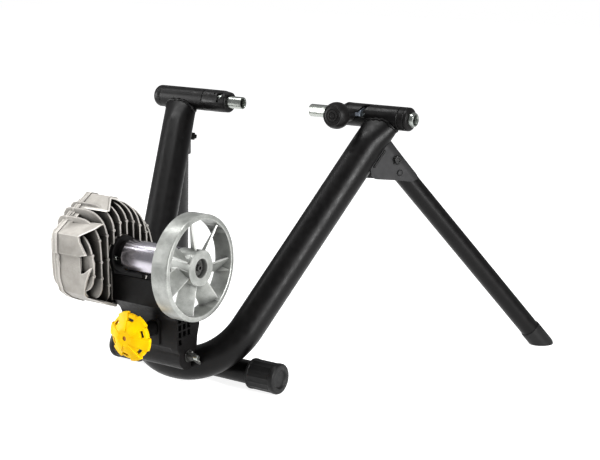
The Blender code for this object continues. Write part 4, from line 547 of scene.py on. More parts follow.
def arm_ways(side):
    """The way down an arm, the way from it to its leg, and the way out of its front."""
    top, corner, foot = (mirrored(point, side) for point in (ARM_TOP, ARM_CORNER, LEG_FOOT))
    down = (corner - top).normalized()
    away = foot - top
    off = (away - down * away.dot(down)).normalized()
    front = down.cross(off)
    return down, off, front if front.y < 0 else -front


CLAMP = along((1, 0, 0), CLAMP_PLACE)
ROLLER = along((1, 0, 0), ROLLER_PLACE)
SWING = along((1, 0, 0), SWING_PLACE)
KNOB = along((0, 1, 0), (0.0, 0.0, KNOB_HEIGHT))
CROSSBAR = along((1, 0, 0), middle_of("crossbar_tube"))
LEVER = along((0, -math.cos(LEVER_RISE), math.sin(LEVER_RISE)), (LEVER_X, *CLAMP_PLACE[1:]))
LINES = {
    "clamp_tube_right": [CLAMP],
    "clamp_nose_left": [CLAMP], "clamp_nose_right": [CLAMP],
    "clamp_cap_left": [CLAMP], "clamp_cap_right": [CLAMP],
    "roller_shaft": [ROLLER], "flywheel": [ROLLER], "flywheel_bolt": [ROLLER],
    "housing_body": [ROLLER], "housing_cover": [ROLLER],
    "bearing_inner": [ROLLER], "bearing_outer": [ROLLER], "impeller": [ROLLER],
    "yoke": [ROLLER, SWING], "pivot_bolt": [SWING], "pivot_washer": [SWING], "wing_nut": [SWING],
    "tension_rod": [KNOB], "lever_stem": [LEVER],
    "crossbar_tube": [CROSSBAR], "crossbar_cap_left": [CROSSBAR], "crossbar_cap_right": [CROSSBAR],
    "leg_foot_cap_left": [leg_way(-1)], "leg_foot_cap_right": [leg_way(1)],
}


# The frame tube and its welds.

TUBE_RADIUS = 0.0254
FLAT_RUN = 0.006
CRIMP_LENGTH = 0.062
CRIMP = 0.36
FLARE = 0.16
FRAME_SIDES = 72
ABOVE_TOP = 0.03
CRIMP_STEP = 0.003
CRIMP_SECTIONS = 31
PLAIN_SECTIONS = [0.12, 0.2, 0.28]
BEND_SECTIONS = 20
CLAMP_RADIUS = 0.0181
COPE_RADIUS = 0.0184
COPE_REACH = 0.3

BEAD_SIDES = 12
BEAD_ANGLE = 60
RIPPLE_PACE = 1.9
SWELL_PACE = 0.7
ARM_WELD = 0.0013
ARM_WELD_RIPPLE = 0.03
FRONT_LIP = 0.0007
FRONT_LIP_DEPTH = 0.008
WELD_CLEARANCE = 0.0004
BRACKET_WELD = 0.0021
BRACKET_WELD_RIPPLE = 0.05
BRACKET_WELD_START = 0.047
BRACKET_WELD_STEP = 0.0011
BRACKET_WELD_POINTS = 31
BRACKET_WELD_OUT = 0.0192
BRACKET_WELD_OFF = 0.0195
WELD_END_SHARE = 0.35

PAD_DOWN = 0.028
PAD_INWARD = 0.0275
PAD_FORWARD = 0.004
PAD_LENGTH = 0.013
PAD_WIDTH = 0.0085
PAD_THICKNESS = 0.006
PAD_EDGE = 0.0014


def crimp(distance):
    """How far the tube is squeezed front to back, at a distance below the arm's top."""
    return 1 - CRIMP * smooth_step(1 - distance / CRIMP_LENGTH)


def frame_sections():
    """The U tube's sections from left top to right top: centre, way inward, way forward, squeeze."""
    down = (ARM_CORNER - ARM_TOP).normalized()
    forward = Vector((1, 0, 0)).cross(Vector((0, -down.y, -down.z))).normalized()
    turn = down.angle(Vector((-1, 0, 0)))
    bend = (ARM_CORNER.x - FLAT_RUN / 2) / math.tan(turn / 2)
    straight = (ARM_CORNER - ARM_TOP).length - bend * math.tan(turn / 2)
    steps = [-ABOVE_TOP + CRIMP_STEP * step for step in range(CRIMP_SECTIONS)]
    steps += PLAIN_SECTIONS + [straight]
    half = [(ARM_TOP + down * distance, down, crimp(distance)) for distance in steps]
    start = half[-1][0]
    inward = forward.cross(down)
    inward = inward if inward.x < 0 else -inward
    centre = start + inward * bend
    rises = (Matrix.Rotation(0.01, 3, forward) @ down).z > down.z
    turn = turn if rises else -turn
    for step in range(1, BEND_SECTIONS + 1):
        spin = Matrix.Rotation(turn * step / BEND_SECTIONS, 3, forward)
        half.append((centre + spin @ (start - centre), spin @ down, 1.0))
    left = [(mirrored(point, -1), mirrored(way, -1), squeeze) for point, way, squeeze in half]
    whole = left + [(point, -way, squeeze) for point, way, squeeze in reversed(half)]
    return [(point, forward.cross(way).normalized(), forward, squeeze) for point, way, squeeze in whole]


def frame_ring(section):
    centre, inward, forward, squeeze = section
    flare = 1 + FLARE * (1 - squeeze) / CRIMP
    ring = []
    for step in range(FRAME_SIDES):
        angle = 2 * math.pi * step / FRAME_SIDES
        arm = inward * math.cos(angle) * flare + forward * math.sin(angle) * squeeze
        ring.append(centre + arm * TUBE_RADIUS)
    return ring


def bead(name, points, radii, closed=False):
    """A lumpy weld run through the points."""
    rows = []
    first = None
    count = len(points)
    for index, point in enumerate(points):
        ahead = points[(index + 1) % count] if closed or index < count - 1 else point
        behind = points[index - 1] if closed or index else point
        way = (ahead - behind).normalized()
        first = (first - way * first.dot(way)).normalized() if first else way.orthogonal().normalized()
        second = way.cross(first)
        ring = []
        for step in range(BEAD_SIDES):
            angle = 2 * math.pi * step / BEAD_SIDES
            ring.append(point + (first * math.cos(angle) + second * math.sin(angle)) * radii[index])
        rows.append(ring)
    piece = formed(name, skin(rows, looped=closed), angle=BEAD_ANGLE)
    extra(piece, BODY["u_frame_tube"], "black_paint")


def ripple(index, base, depth):
    """The radius of a weld at a point of its run: even ripples with a slow swell."""
    swell = 0.5 * depth * math.sin(index * SWELL_PACE + 1)
    return base * (1 + depth * math.sin(index * RIPPLE_PACE) + swell)


def weld_run(side):
    """Where the arm's wall meets the clamp tube, all the way round the arm."""
    rings = [frame_ring(section) for section in frame_sections()[:CRIMP_SECTIONS]]
    run = []
    for column in range(FRAME_SIDES):
        previous = None
        for ring in reversed(rings):
            point = ring[column]
            gap = math.hypot(point.y - CLAMP_PLACE[1], point.z - CLAMP_PLACE[2])
            if gap < CLAMP_RADIUS + WELD_CLEARANCE or point.z > CLAMP_PLACE[2]:
                break
            previous = point
        run.append(mirrored(previous or ring[column], -side))
    return run


def weld_arm(side, word):
    """The weld between an arm and its clamp tube, thicker on the front."""
    points = weld_run(side)
    radii = []
    for index, point in enumerate(points):
        front = smooth_step((CLAMP_PLACE[1] - FRONT_LIP_DEPTH - point.y) / FRONT_LIP_DEPTH)
        radii.append(ripple(index, ARM_WELD + FRONT_LIP * front, ARM_WELD_RIPPLE))
    bead("arm_weld_" + word, points, radii, closed=True)


def weld_bracket(side, word):
    """The weld between an arm and its leg bracket, thin at its two ends."""
    down, off, front = arm_ways(side)
    points = []
    radii = []
    for index in range(BRACKET_WELD_POINTS):
        place = mirrored(ARM_TOP, side) + down * (BRACKET_WELD_START + BRACKET_WELD_STEP * index)
        points.append(place + front * BRACKET_WELD_OUT + off * BRACKET_WELD_OFF)
        share = WELD_END_SHARE if index in (0, BRACKET_WELD_POINTS - 1) else 1.0
        radii.append(ripple(index, BRACKET_WELD, BRACKET_WELD_RIPPLE) * share)
    bead("bracket_weld_" + word, points, radii)


def make_arm_pad():
    """The small pad on the inner side of the left arm."""
    down = arm_ways(-1)[0]
    forward = frame_sections()[0][2]
    inward = down.cross(forward)
    inward = inward if inward.x > 0 else -inward
    middle = mirrored(ARM_TOP, -1) + down * PAD_DOWN + inward * PAD_INWARD + forward * PAD_FORWARD
    axes = Matrix((down * PAD_LENGTH, forward * PAD_WIDTH, inward * PAD_THICKNESS)).transposed().to_4x4()
    pad = formed("arm_pad", block(Matrix.Translation(middle) @ axes), edges=PAD_EDGE)
    extra(pad, BODY["u_frame_tube"], "black_paint")


def make_frame_tube():
    """The U tube, coped round the clamp tubes, with its welds and its pad."""
    shape = skin([frame_ring(section) for section in frame_sections()])
    everything = shape.verts[:] + shape.edges[:] + shape.faces[:]
    cut = bmesh.ops.bisect_plane(
        shape, geom=everything, plane_co=CLAMP_PLACE, plane_no=(0, 0, 1), clear_outer=True
    )
    rims = [item for item in cut["geom_cut"] if isinstance(item, bmesh.types.BMEdge)]
    bmesh.ops.holes_fill(shape, edges=rims, sides=0)
    tube = formed("frame_tube_skin", shape)
    cope = [(COPE_RADIUS, -COPE_REACH), (COPE_RADIUS, COPE_REACH)]
    cut_away(tube, skin(turned(cope, CLAMP)))
    dressed(tube, "u_frame_tube")
    for side, word in SIDES:
        weld_arm(side, word)
        weld_bracket(side, word)
    make_arm_pad()


# The leg brackets, their rivets and bolts, and the legs.

BRACKET_HALF_WIDTH = 0.0195
BRACKET_BACK = 0.01884
BRACKET_BEND = 0.006
BRACKET_EDGE = 0.0005
OUT_CUTS = [0.0014 * step for step in range(14)]
ACROSS_CUTS = [0.0017 * step for step in range(-11, 12)]

RIVET_ACROSS, RIVET_DOWN = 0.0607, 0.0600
# A radius, and a distance forward of the bracket's front, or of its back for the bolt's end.
RIVET_PROFILE = [
    (0.0, -0.001), (0.0050, -0.001), (0.0050, 0.0007), (0.0046, 0.0011), (0.0042, 0.0007),
    (0.0040, 0.0002), (0.0038, 0.0007), (0.0033, 0.0014), (0.0024, 0.0016), (0.0, 0.0016),
]
RIVET_STEPS = 48
BOLT_ACROSS, BOLT_DOWN = 0.0445, 0.0473
BOLT_END_PROFILE = [(0.0, -0.010), (0.0036, -0.010), (0.0040, -0.009)]
BOLT_HEAD_PROFILE = [
    (0.0040, 0.0003), (0.0080, 0.0003), (0.0080, 0.0012), (0.0069, 0.0016), (0.0069, 0.0048),
    (0.0060, 0.0055), (0.0034, 0.0055), (0.0030, 0.0042), (0.0, 0.0042),
]
BOLT_SIDES = 6
BOLT_EDGE = 0.0003

LEG_RADIUS = 0.0154
LEG_FOOT_INSET = 0.017


def rolled_bracket(node, side):
    """The bracket with its spine rolled round the leg, as the folded sheet is."""
    leg, bolt = leg_way(side)
    away = arm_ways(side)[1]
    away = (away - leg * away.dot(leg)).normalized()
    flank = leg.cross(away)
    shape = solid_of(node)
    for way, distances in ((away, OUT_CUTS), (flank, ACROSS_CUTS)):
        for distance in distances:
            everything = shape.verts[:] + shape.edges[:] + shape.faces[:]
            bmesh.ops.bisect_plane(shape, geom=everything, plane_co=bolt + way * distance, plane_no=way)
    for corner in shape.verts:
        offset = corner.co - bolt
        out, across = offset.dot(away), offset.dot(flank)
        if out <= 0:
            continue
        over_back = out - BRACKET_BACK
        over_side = abs(across) - BRACKET_HALF_WIDTH
        near = (max(over_back + BRACKET_BEND, 0), max(over_side + BRACKET_BEND, 0))
        depth = math.hypot(*near) - BRACKET_BEND if any(near) else max(over_back, over_side)
        turn = math.atan2(across / BRACKET_HALF_WIDTH, out / BRACKET_BACK)
        new_out = (BRACKET_BACK + depth) * math.cos(turn)
        new_across = (BRACKET_HALF_WIDTH + depth) * math.sin(turn)
        corner.co += away * (new_out - out) + flank * (new_across - across)
    dressed(formed(node + "_rolled", shape, edges=BRACKET_EDGE), node)


def head(name, side, across, below, profile, steps, edges=0.0):
    """A rivet or bolt through a leg bracket, turned on a line across the bracket's faces."""
    down, off, front = arm_ways(side)
    line = along(front, mirrored(ARM_TOP, side) + down * below + off * across)
    return formed(name, skin(turned(profile, line, steps)), angle=CRISP_ANGLE, edges=edges)


def make_heads(side, word):
    face = BRACKET_HALF_WIDTH
    profile = [(radius, face + height) for radius, height in RIVET_PROFILE]
    rivet = head("bracket_rivet_" + word, side, RIVET_ACROSS, RIVET_DOWN, profile, RIVET_STEPS)
    extra(rivet, BODY["u_frame_tube"], "bracket_paint")
    profile = [(radius, -face + height) for radius, height in BOLT_END_PROFILE]
    profile += [(radius, face + height) for radius, height in BOLT_HEAD_PROFILE]
    bolt = head("leg_bolt_skin_" + word, side, BOLT_ACROSS, BOLT_DOWN, profile, BOLT_SIDES, BOLT_EDGE)
    dressed(bolt, "leg_bolt_" + word)


def make_leg(side, word):
    end = (LEG_FOOT - LEG_TOP).length - LEG_FOOT_INSET
    profile = [(0.0, -0.006), (0.0134, -0.006), (0.0139, -0.006), (LEG_RADIUS, -0.0045)]
    profile += [(LEG_RADIUS, -0.004), (LEG_RADIUS, end), (0.0150, end), (0.0, end)]
    dressed(formed("leg_skin_" + word, skin(turned(profile, leg_way(side)))), "leg_tube_" + word)


# The lever's ball, the cones and what shows round them.

BALL_REACH = 0.0585
BALL_RADIUS = 0.0205
BALL_FACE = 0.0140
# A radius, and a distance out from the ball's flat face.
BALL_RINGS = [
    (0.0, -0.0008), (0.0024, -0.0008), (0.0028, -0.0003), (0.0042, -0.0003), (0.0046, -0.0011),
    (0.0050, -0.0011), (0.0054, -0.0002), (0.0086, -0.0003), (0.0091, -0.0012), (0.0098, -0.0012),
    (0.0103, -0.0004), (0.0131, -0.0008), (0.0136, -0.0016), (0.0143, -0.0016),
]
COLLAR_START = 0.0190
STEM_HOLE_RADIUS = 0.0043
STEM_HOLE_BACK = 0.0097

CONE_ANGLE = 40
CONE_RADIUS = 0.0100
# A radius, and a depth from the cone's tip.
CUP_PROFILE = [
    (0.0, 0.0140), (0.0071, 0.0120), (0.0075, 0.0005), (0.0079, 0.0),
    (0.0091, 0.0), (0.0097, 0.0002), (CONE_RADIUS, 0.0008),
]
LEFT_TIP, RIGHT_TIP = -0.071, 0.063
LEFT_TAIL = -0.161
RIGHT_TAIL = 0.2502
TAIL_HOLE_END = 0.2382

TUBE_BORE = 0.0149
TUBE_OUTER_END, TUBE_INNER_END = -0.23285, -0.14465
LINER_BORE, LINER_RADIUS = 0.0138, 0.0148
LINER_OUTER_END, LINER_INNER_END = -0.1236, -0.1030

SLEEVE_BORE, SLEEVE_RADIUS = 0.0102, 0.0144
SLEEVE_START, SLEEVE_END = 0.1395, 0.1600
SLEEVE_HOLE_RADIUS = 0.0046
SLEEVE_HOLE_REACH = 0.03


def make_lever_knob():
    """A ball with a turned face of fine rings, and a collar behind it."""
    profile = [(radius, BALL_REACH + BALL_FACE + height) for radius, height in BALL_RINGS]
    profile += arc((0.0, BALL_REACH), BALL_RADIUS, 38, -38, 26)
    profile += arc((0.0195, BALL_REACH - 0.0165), 0.0075, 150, 205, 6)
    profile += [(0.0108, BALL_REACH - 0.0290), (0.0102, 0.0262), (0.0095, 0.0210)]
    profile += [(0.0088, COLLAR_START)]
    hole_end = BALL_REACH - STEM_HOLE_BACK
    profile += [(STEM_HOLE_RADIUS, COLLAR_START), (STEM_HOLE_RADIUS, hole_end), (0.0, hole_end)]
    dressed(formed("lever_ball", skin(turned(profile, LEVER)), angle=CRISP_ANGLE), "lever_knob")


def cup(tip, way):
    """The profile of a cone's hollow end, from its middle out to its side."""
    return [(radius, tip + way * depth) for radius, depth in CUP_PROFILE]


def make_cones():
    """The two cupped cones: a plain one on the left, and one with a hollow tail on the right."""
    profile = cup(LEFT_TIP, -1) + [(CONE_RADIUS, -0.1602), (0.0097, -0.1608)]
    profile += [(0.0090, LEFT_TAIL), (0.0, LEFT_TAIL)]
    dressed(formed("cone_skin_left", skin(turned(profile, CLAMP)), angle=CONE_ANGLE), "axle_cone_left")
    profile = cup(RIGHT_TIP, 1) + [(CONE_RADIUS, 0.2435), (0.0112, 0.2435), (0.0112, 0.2477)]
    profile += [(0.0104, 0.2495), (0.0097, RIGHT_TAIL), (0.0083, RIGHT_TAIL), (0.0079, 0.2497)]
    profile += [(0.0078, TAIL_HOLE_END), (0.0, TAIL_HOLE_END)]
    dressed(formed("plunger_skin", skin(turned(profile, CLAMP)), angle=CONE_ANGLE), "axle_plunger_right")


def make_left_clamp():
    """The left clamp tube, and the bright liner behind the windows of its nose."""
    profile = [(TUBE_BORE, TUBE_OUTER_END), (0.0178, TUBE_OUTER_END), (CLAMP_RADIUS, -0.2325)]
    profile += [(CLAMP_RADIUS, -0.1450), (0.0178, TUBE_INNER_END), (TUBE_BORE, TUBE_INNER_END)]
    dressed(formed("clamp_skin_left", skin(turned(profile, CLAMP), looped=True)), "clamp_tube_left")
    profile = [(LINER_BORE, LINER_OUTER_END), (LINER_RADIUS, LINER_OUTER_END)]
    profile += [(LINER_RADIUS, LINER_INNER_END), (LINER_BORE, LINER_INNER_END)]
    liner = formed("nose_liner", skin(turned(profile, CLAMP), looped=True))
    extra(liner, BODY["clamp_nose_left"], "zinc_plate")


def make_sleeve():
    """The bright sleeve on the plunger, seen through the lever's slot."""
    profile = [(SLEEVE_BORE, SLEEVE_START), (0.0140, SLEEVE_START), (SLEEVE_RADIUS, 0.1400)]
    profile += [(SLEEVE_RADIUS, 0.1595), (0.0140, SLEEVE_END), (SLEEVE_BORE, SLEEVE_END)]
    sleeve = formed("plunger_sleeve", skin(turned(profile, CLAMP), looped=True))
    hole = [(SLEEVE_HOLE_RADIUS, 0.0), (SLEEVE_HOLE_RADIUS, SLEEVE_HOLE_REACH)]
    cut_away(sleeve, skin(turned(hole, LEVER, SMALL_STEPS)))
    extra(sleeve, BODY["axle_plunger_right"], "polished_steel", BLUED_SLEEVE)


# The tension knob.

KNOB_BACK = -0.28376
KNOB_RADIUS = 0.0365
KNOB_ANGLE = 26
KNOB_FIRST_SLOT = math.radians(78)
# A radius, and the front's height there over the knob's back.
DOME = (
    (0.0034, 0.0171), (0.0060, 0.0175), (0.0130, 0.0163), (0.0210, 0.0130),
    (0.0275, 0.0086), (0.0310, 0.0066), (0.0365, 0.0046),
)
MIDDLE_RADII = (0.0033, 0.0036, 0.0045, 0.0060, 0.0080)
LOBE_RADII = (0.0095, 0.0110, 0.0130, 0.0160, 0.0190, 0.0220, 0.0250, 0.0275, 0.0300, 0.0315)
# A radius, and the notches' share of their full depth there.
RIM_SHARES = ((0.0325, 0.10), (0.0335, 0.35), (0.0350, 0.75), (0.0360, 1.0))
# A radius, a height, the lobes' rise and the notches' depth.
SIDE_RINGS = (
    (KNOB_RADIUS, 0.0036, 0.0008, 0.0026),
    (KNOB_RADIUS, 0.0010, 0.0, 0.0026),
    (KNOB_RADIUS - 0.0008, 0.0, 0.0, 0.0022),
)
HOLLOW_PROFILE = (
    (0.0295, 0.0), (0.0290, 0.0030), (0.0150, 0.0120), (0.0125, 0.0120),
    (0.0115, 0.0), (0.0058, 0.0), (0.0058, 0.0130), (0.0033, 0.0130),
)
HOLE_DROP = 0.0006
RIM_DROP = 0.0006

LOBES = 6
LOBE_STEPS = 12
LOBE_RISE = 0.0013
LOBE_FADE_START, LOBE_FADE = 0.008, 0.004
LOBE_START = 0.0095
LOBE_RUN = 0.027
LOBE_HALF_INNER, LOBE_HALF_OUTER = 0.0044, 0.0093
LOBE_WIDEST = math.radians(27)
LOBE_WIDEST_SINE = 0.95
LOBE_LEAST_RADIUS = 0.0050
FLANK = 0.00035
FLANK_WIDEST = 0.06
FLANK_LEAST_RADIUS = 0.004

NOTCH_STEPS = 28
NOTCH_DEPTH = 0.0024
MILLING = 0.28

SLOT_WIDTH = 0.0046
SLOT_LENGTH = 0.0100
SLOT_REACH = 0.0268
SLOT_DEPTH = 0.05
SLOT_MIDDLE = 0.027
CORE_RADIUS = 0.0032
CORE_BACK, CORE_FRONT = -0.0125, -0.0158


def dome_height(radius):
    for (low, first), (high, second) in zip(DOME, DOME[1:]):
        if radius <= high:
            part = max(radius - low, 0.0) / (high - low)
            return first + (second - first) * part
    return DOME[-1][1]


def knob_columns(radius, rise):
    """Round the knob at one radius: the angle, the lobe's rise and the notch's share of each column."""
    widening = (LOBE_HALF_OUTER - LOBE_HALF_INNER) * max(radius - LOBE_START, 0.0) / LOBE_RUN
    half_width = LOBE_HALF_INNER + widening
    half = math.asin(min(half_width / max(radius, LOBE_LEAST_RADIUS), LOBE_WIDEST_SINE))
    half = min(half, LOBE_WIDEST)
    flank = min(FLANK / max(radius, FLANK_LEAST_RADIUS), FLANK_WIDEST)
    gap = math.radians(360 / LOBES) - 2 * (half + flank)
    columns = []
    for lobe in range(LOBES):
        middle = KNOB_FIRST_SLOT + math.pi * (2 * lobe + 1) / LOBES
        for index in range(LOBE_STEPS + 1):
            columns.append((middle + half * (2 * index / LOBE_STEPS - 1), rise, 0.0))
        for index in range(NOTCH_STEPS + 1):
            ridge = 1.0 if index % 4 < 2 else 0.0
            angle = middle + half + flank + gap * index / NOTCH_STEPS
            columns.append((angle, 0.0, 1.0 + MILLING * ridge))
    return columns


def knob_ring(radius, height, rise=0.0, notch=0.0, at_radius=None):
    """One ring of the knob, with the columns of its own radius or of another."""
    ring = []
    for angle, lift, share in knob_columns(at_radius or radius, rise):
        reach = radius - notch * share
        x, z = reach * math.cos(angle), KNOB_HEIGHT + reach * math.sin(angle)
        ring.append(Vector((x, KNOB_BACK - height - lift, z)))
    return ring


def knob_rows():
    """The knob's rings, from the hole in its front, over its rim, to the hollow in its back."""
    rows = []
    for radius in MIDDLE_RADII:
        drop = HOLE_DROP if radius == MIDDLE_RADII[0] else 0.0
        rows.append(knob_ring(radius, dome_height(radius) - drop))
    for radius in LOBE_RADII:
        rise = LOBE_RISE * smooth_step((radius - LOBE_FADE_START) / LOBE_FADE)
        rows.append(knob_ring(radius, dome_height(radius), rise))
    for radius, share in RIM_SHARES:
        height = dome_height(radius) - RIM_DROP * share
        rows.append(knob_ring(radius, height, LOBE_RISE, NOTCH_DEPTH * share))
    for radius, height, rise, notch in SIDE_RINGS:
        rows.append(knob_ring(radius, height, rise, notch))
    for radius, height in HOLLOW_PROFILE:
        rows.append(knob_ring(radius, height, at_radius=KNOB_RADIUS))
    return rows


def make_knob():
    """The tension knob: six raised lobes, notches with a milled rim, a hollow back and six slots."""
    knob = formed("knob_skin", skin(knob_rows(), looped=True), angle=KNOB_ANGLE)
    face_on = Matrix(((1, 0, 0, 0), (0, 0, -1, KNOB_BACK), (0, 1, 0, KNOB_HEIGHT), (0, 0, 0, 1)))
    size = Matrix.Diagonal((SLOT_WIDTH, SLOT_LENGTH, SLOT_DEPTH, 1.0))
    reach = Matrix.Translation((SLOT_REACH, 0, SLOT_MIDDLE))
    for lobe in range(LOBES):
        spin = Matrix.Rotation(KNOB_FIRST_SLOT + 2 * math.pi * lobe / LOBES, 4, "Z")
        cut_away(knob, block(face_on @ (spin @ reach) @ size))
    knob.data.set_sharp_from_angle(angle=math.radians(KNOB_ANGLE))
    dressed(knob, "tension_knob")
    # The plug in the centre hole is painted shade: a dark orange that stands for the shade down the
    # hole.
    line = along((0, 1, 0), (0.0, KNOB_BACK, KNOB_HEIGHT))
    profile = [(0.0, CORE_BACK), (CORE_RADIUS, CORE_BACK), (CORE_RADIUS, CORE_FRONT), (0.0, CORE_FRONT)]
    core = formed("knob_core", skin(turned(profile, line, SMALL_STEPS)))
    extra(core, BODY["tension_knob"], "yellow_plastic", KNOB_HOLE_SHADE)


# The roller.

ROLLER_START, ROLLER_END = -0.0375, 0.0500
ROLLER_BORE = 0.0062
ROLLER_HOLLOW = 0.0199
ROLLER_HOLLOW_DEPTH = 0.012
ROLLER_STEPS = 128


def make_roller():
    """The roller, with a hollow in the end that faces the housing."""
    floor = ROLLER_START + ROLLER_HOLLOW_DEPTH
    profile = [(ROLLER_BORE, ROLLER_END), (0.0225, ROLLER_END), (0.0229, ROLLER_END)]
    profile += arc((0.0234, ROLLER_END - 0.0010), 0.0010, 90, 0, 4)
    profile += arc((0.0236, ROLLER_START + 0.0008), 0.0008, 0, -90, 4)
    profile += [(ROLLER_HOLLOW, ROLLER_START), (ROLLER_HOLLOW, floor), (ROLLER_BORE, floor)]
    rings = turned(profile, ROLLER, ROLLER_STEPS)
    dressed(formed("roller_skin", skin(rings, looped=True)), "roller")


# The stage.

PHOTO_WIDTH = 600
CAMERA_AZIMUTH = math.radians(33.82)
CAMERA_ELEVATION = math.radians(13.59)
CAMERA_ROLL = math.radians(-0.03)
CAMERA_PLACE = Vector((1.2082, -1.65576, 0.6942))
FOCAL_PIXELS = 1330.23
SENSOR_WIDTH = 36.0
VIEW_DEPTH = 30

WHITE = (1, 1, 1, 1)
AMBIENT_COLOUR = (0.97, 0.98, 1.0, 1)
AMBIENT_STRENGTH = 0.24
MIRROR_SHARE = 0.10
FLOOR_COLOUR = (0.62, 0.62, 0.62, 1)
FLOOR_ROUGHNESS = 0.9
FLOOR_SPECULAR = 0.1
FLOOR_GLOW = 0.86
FLOOR_HALF_SIZE = 6.0
FLOOR_DROP = 0.0004
GLOW_NEAR, GLOW_FAR = 0.5, 1.3
GLOW_FAR_SHARE = 0.25

OBJECT_MIDDLE = (0.0, 0.0, 0.2)
# Each lamp's name, place, target, size in metres and power in watts.
LAMPS = (
    ("key_left", (-1.81, -1.13, 0.62), OBJECT_MIDDLE, (0.16, 1.0), 43),
    ("fill_right", (1.95, -0.49, 0.72), OBJECT_MIDDLE, (0.15, 1.3), 49),
    ("top", (-0.55, -0.20, 2.1), (-0.55, -0.10, 0.2), (2.0, 0.26), 29),
    ("upper_left", (-1.62, -0.62, 1.60), OBJECT_MIDDLE, (0.45, 0.45), 4.0),
)


def make_camera():
    lens = bpy.data.cameras.new("camera")
    lens.sensor_fit = "HORIZONTAL"
    lens.sensor_width = SENSOR_WIDTH
    lens.lens = FOCAL_PIXELS / PHOTO_WIDTH * SENSOR_WIDTH
    lens.clip_end = VIEW_DEPTH
    camera = bpy.data.objects.new("camera", lens)
    bpy.context.scene.collection.objects.link(camera)
    level = math.cos(CAMERA_ELEVATION)
    sine, cosine = math.sin(CAMERA_AZIMUTH), math.cos(CAMERA_AZIMUTH)
    ahead = Vector((-sine * level, cosine * level, -math.sin(CAMERA_ELEVATION)))
    right = Vector((cosine, sine, 0.0))
    up = right.cross(ahead)
    tilt = Matrix.Rotation(CAMERA_ROLL, 4, "Z")
    axes = Matrix((right, up, -ahead)).transposed().to_4x4()
    camera.matrix_world = Matrix.Translation(CAMERA_PLACE) @ axes @ tilt
    bpy.context.scene.camera = camera


def backdrop_mask(tree, mirror_share):
    """1 for the camera and through glass, and a share for what mirrors see: a number or a source."""
    path = tree.nodes.new("ShaderNodeLightPath")
    mirror = tree.nodes.new("ShaderNodeMath")
    mirror.operation = "MULTIPLY"
    tree.links.new(path.outputs["Is Glossy Ray"], mirror.inputs[0])
    if isinstance(mirror_share, float):
        mirror.inputs[1].default_value = mirror_share
    else:
        tree.links.new(mirror_share, mirror.inputs[1])
    total = mirror.outputs[0]
    for name in ("Is Camera Ray", "Is Transmission Ray"):
        step = tree.nodes.new("ShaderNodeMath")
        step.operation = "MAXIMUM"
        tree.links.new(total, step.inputs[0])
        tree.links.new(path.outputs[name], step.inputs[1])
        total = step.outputs[0]
    return total


def near_floor(tree):
    """1 on the floor close round the object, falling to a quarter further out."""
    reach = tree.nodes.new("ShaderNodeVectorMath")
    reach.operation = "LENGTH"
    tree.links.new(tree.nodes.new("ShaderNodeTexCoord").outputs["Object"], reach.inputs[0])
    fade = tree.nodes.new("ShaderNodeMapRange")
    fade.interpolation_type = "SMOOTHSTEP"
    fade.inputs["From Min"].default_value = GLOW_NEAR
    fade.inputs["From Max"].default_value = GLOW_FAR
    fade.inputs["To Min"].default_value = 1.0
    fade.inputs["To Max"].default_value = GLOW_FAR_SHARE
    tree.links.new(reach.outputs["Value"], fade.inputs["Value"])
    return fade.outputs["Result"]


def make_world():
    """A white backdrop that lights the object only a little."""
    world = bpy.data.worlds.new("studio")
    bpy.context.scene.world = world
    world.use_nodes = True
    tree = world.node_tree
    seen = tree.nodes["Background"]
    seen.inputs["Color"].default_value = WHITE
    seen.inputs["Strength"].default_value = 1.0
    ambient = tree.nodes.new("ShaderNodeBackground")
    ambient.inputs["Color"].default_value = AMBIENT_COLOUR
    ambient.inputs["Strength"].default_value = AMBIENT_STRENGTH
    mix = tree.nodes.new("ShaderNodeMixShader")
    tree.links.new(backdrop_mask(tree, MIRROR_SHARE), mix.inputs["Fac"])
    tree.links.new(ambient.outputs[0], mix.inputs[1])
    tree.links.new(seen.outputs[0], mix.inputs[2])
    tree.links.new(mix.outputs[0], tree.nodes["World Output"].inputs["Surface"])


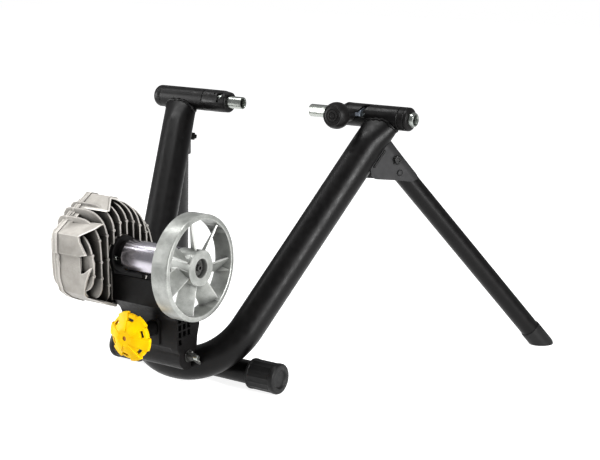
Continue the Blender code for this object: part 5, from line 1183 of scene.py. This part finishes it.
def floor_finish():
    """A pale matt face with a glow that the camera sees in full."""
    material = bpy.data.materials.new("floor_white")
    material.use_nodes = True
    tree = material.node_tree
    shader = tree.nodes["Principled BSDF"]
    shader.inputs["Base Color"].default_value = FLOOR_COLOUR
    shader.inputs["Roughness"].default_value = FLOOR_ROUGHNESS
    shader.inputs["Specular IOR Level"].default_value = FLOOR_SPECULAR
    glow = tree.nodes.new("ShaderNodeEmission")
    glow.inputs["Color"].default_value = WHITE
    level = tree.nodes.new("ShaderNodeMath")
    level.operation = "MULTIPLY"
    level.inputs[1].default_value = FLOOR_GLOW
    tree.links.new(backdrop_mask(tree, near_floor(tree)), level.inputs[0])
    tree.links.new(level.outputs[0], glow.inputs["Strength"])
    total = tree.nodes.new("ShaderNodeAddShader")
    tree.links.new(shader.outputs[0], total.inputs[0])
    tree.links.new(glow.outputs[0], total.inputs[1])
    tree.links.new(total.outputs[0], tree.nodes["Material Output"].inputs["Surface"])
    return material


def make_floor():
    """A pale floor that stays white to the camera and keeps a soft shadow."""
    shape = bmesh.new()
    bmesh.ops.create_grid(shape, x_segments=1, y_segments=1, size=FLOOR_HALF_SIZE)
    floor = linked("floor", shape)
    floor.location.z = -FLOOR_DROP
    floor.data.materials.append(floor_finish())


def make_lamp(name, place, target, size, power):
    """A rectangular lamp that faces a point."""
    lamp = bpy.data.lights.new(name, "AREA")
    lamp.shape = "RECTANGLE"
    lamp.size, lamp.size_y = size
    lamp.energy = power
    box = bpy.data.objects.new(name, lamp)
    box.location = place
    box.rotation_euler = (Vector(target) - Vector(place)).to_track_quat("-Z", "Y").to_euler()
    bpy.context.scene.collection.objects.link(box)


def make_stage():
    bpy.context.scene.view_settings.view_transform = "Standard"
    make_camera()
    make_world()
    make_floor()
    for lamp in LAMPS:
        make_lamp(*lamp)


make_stage()
make_frame_tube()
for side, word in SIDES:
    rolled_bracket("leg_bracket_" + word, side)
    make_leg(side, word)
    make_heads(side, word)
make_lever_knob()
make_cones()
make_left_clamp()
make_sleeve()
make_knob()
make_roller()
for node in NODES:
    if node not in DRESSED:
        softened(node)
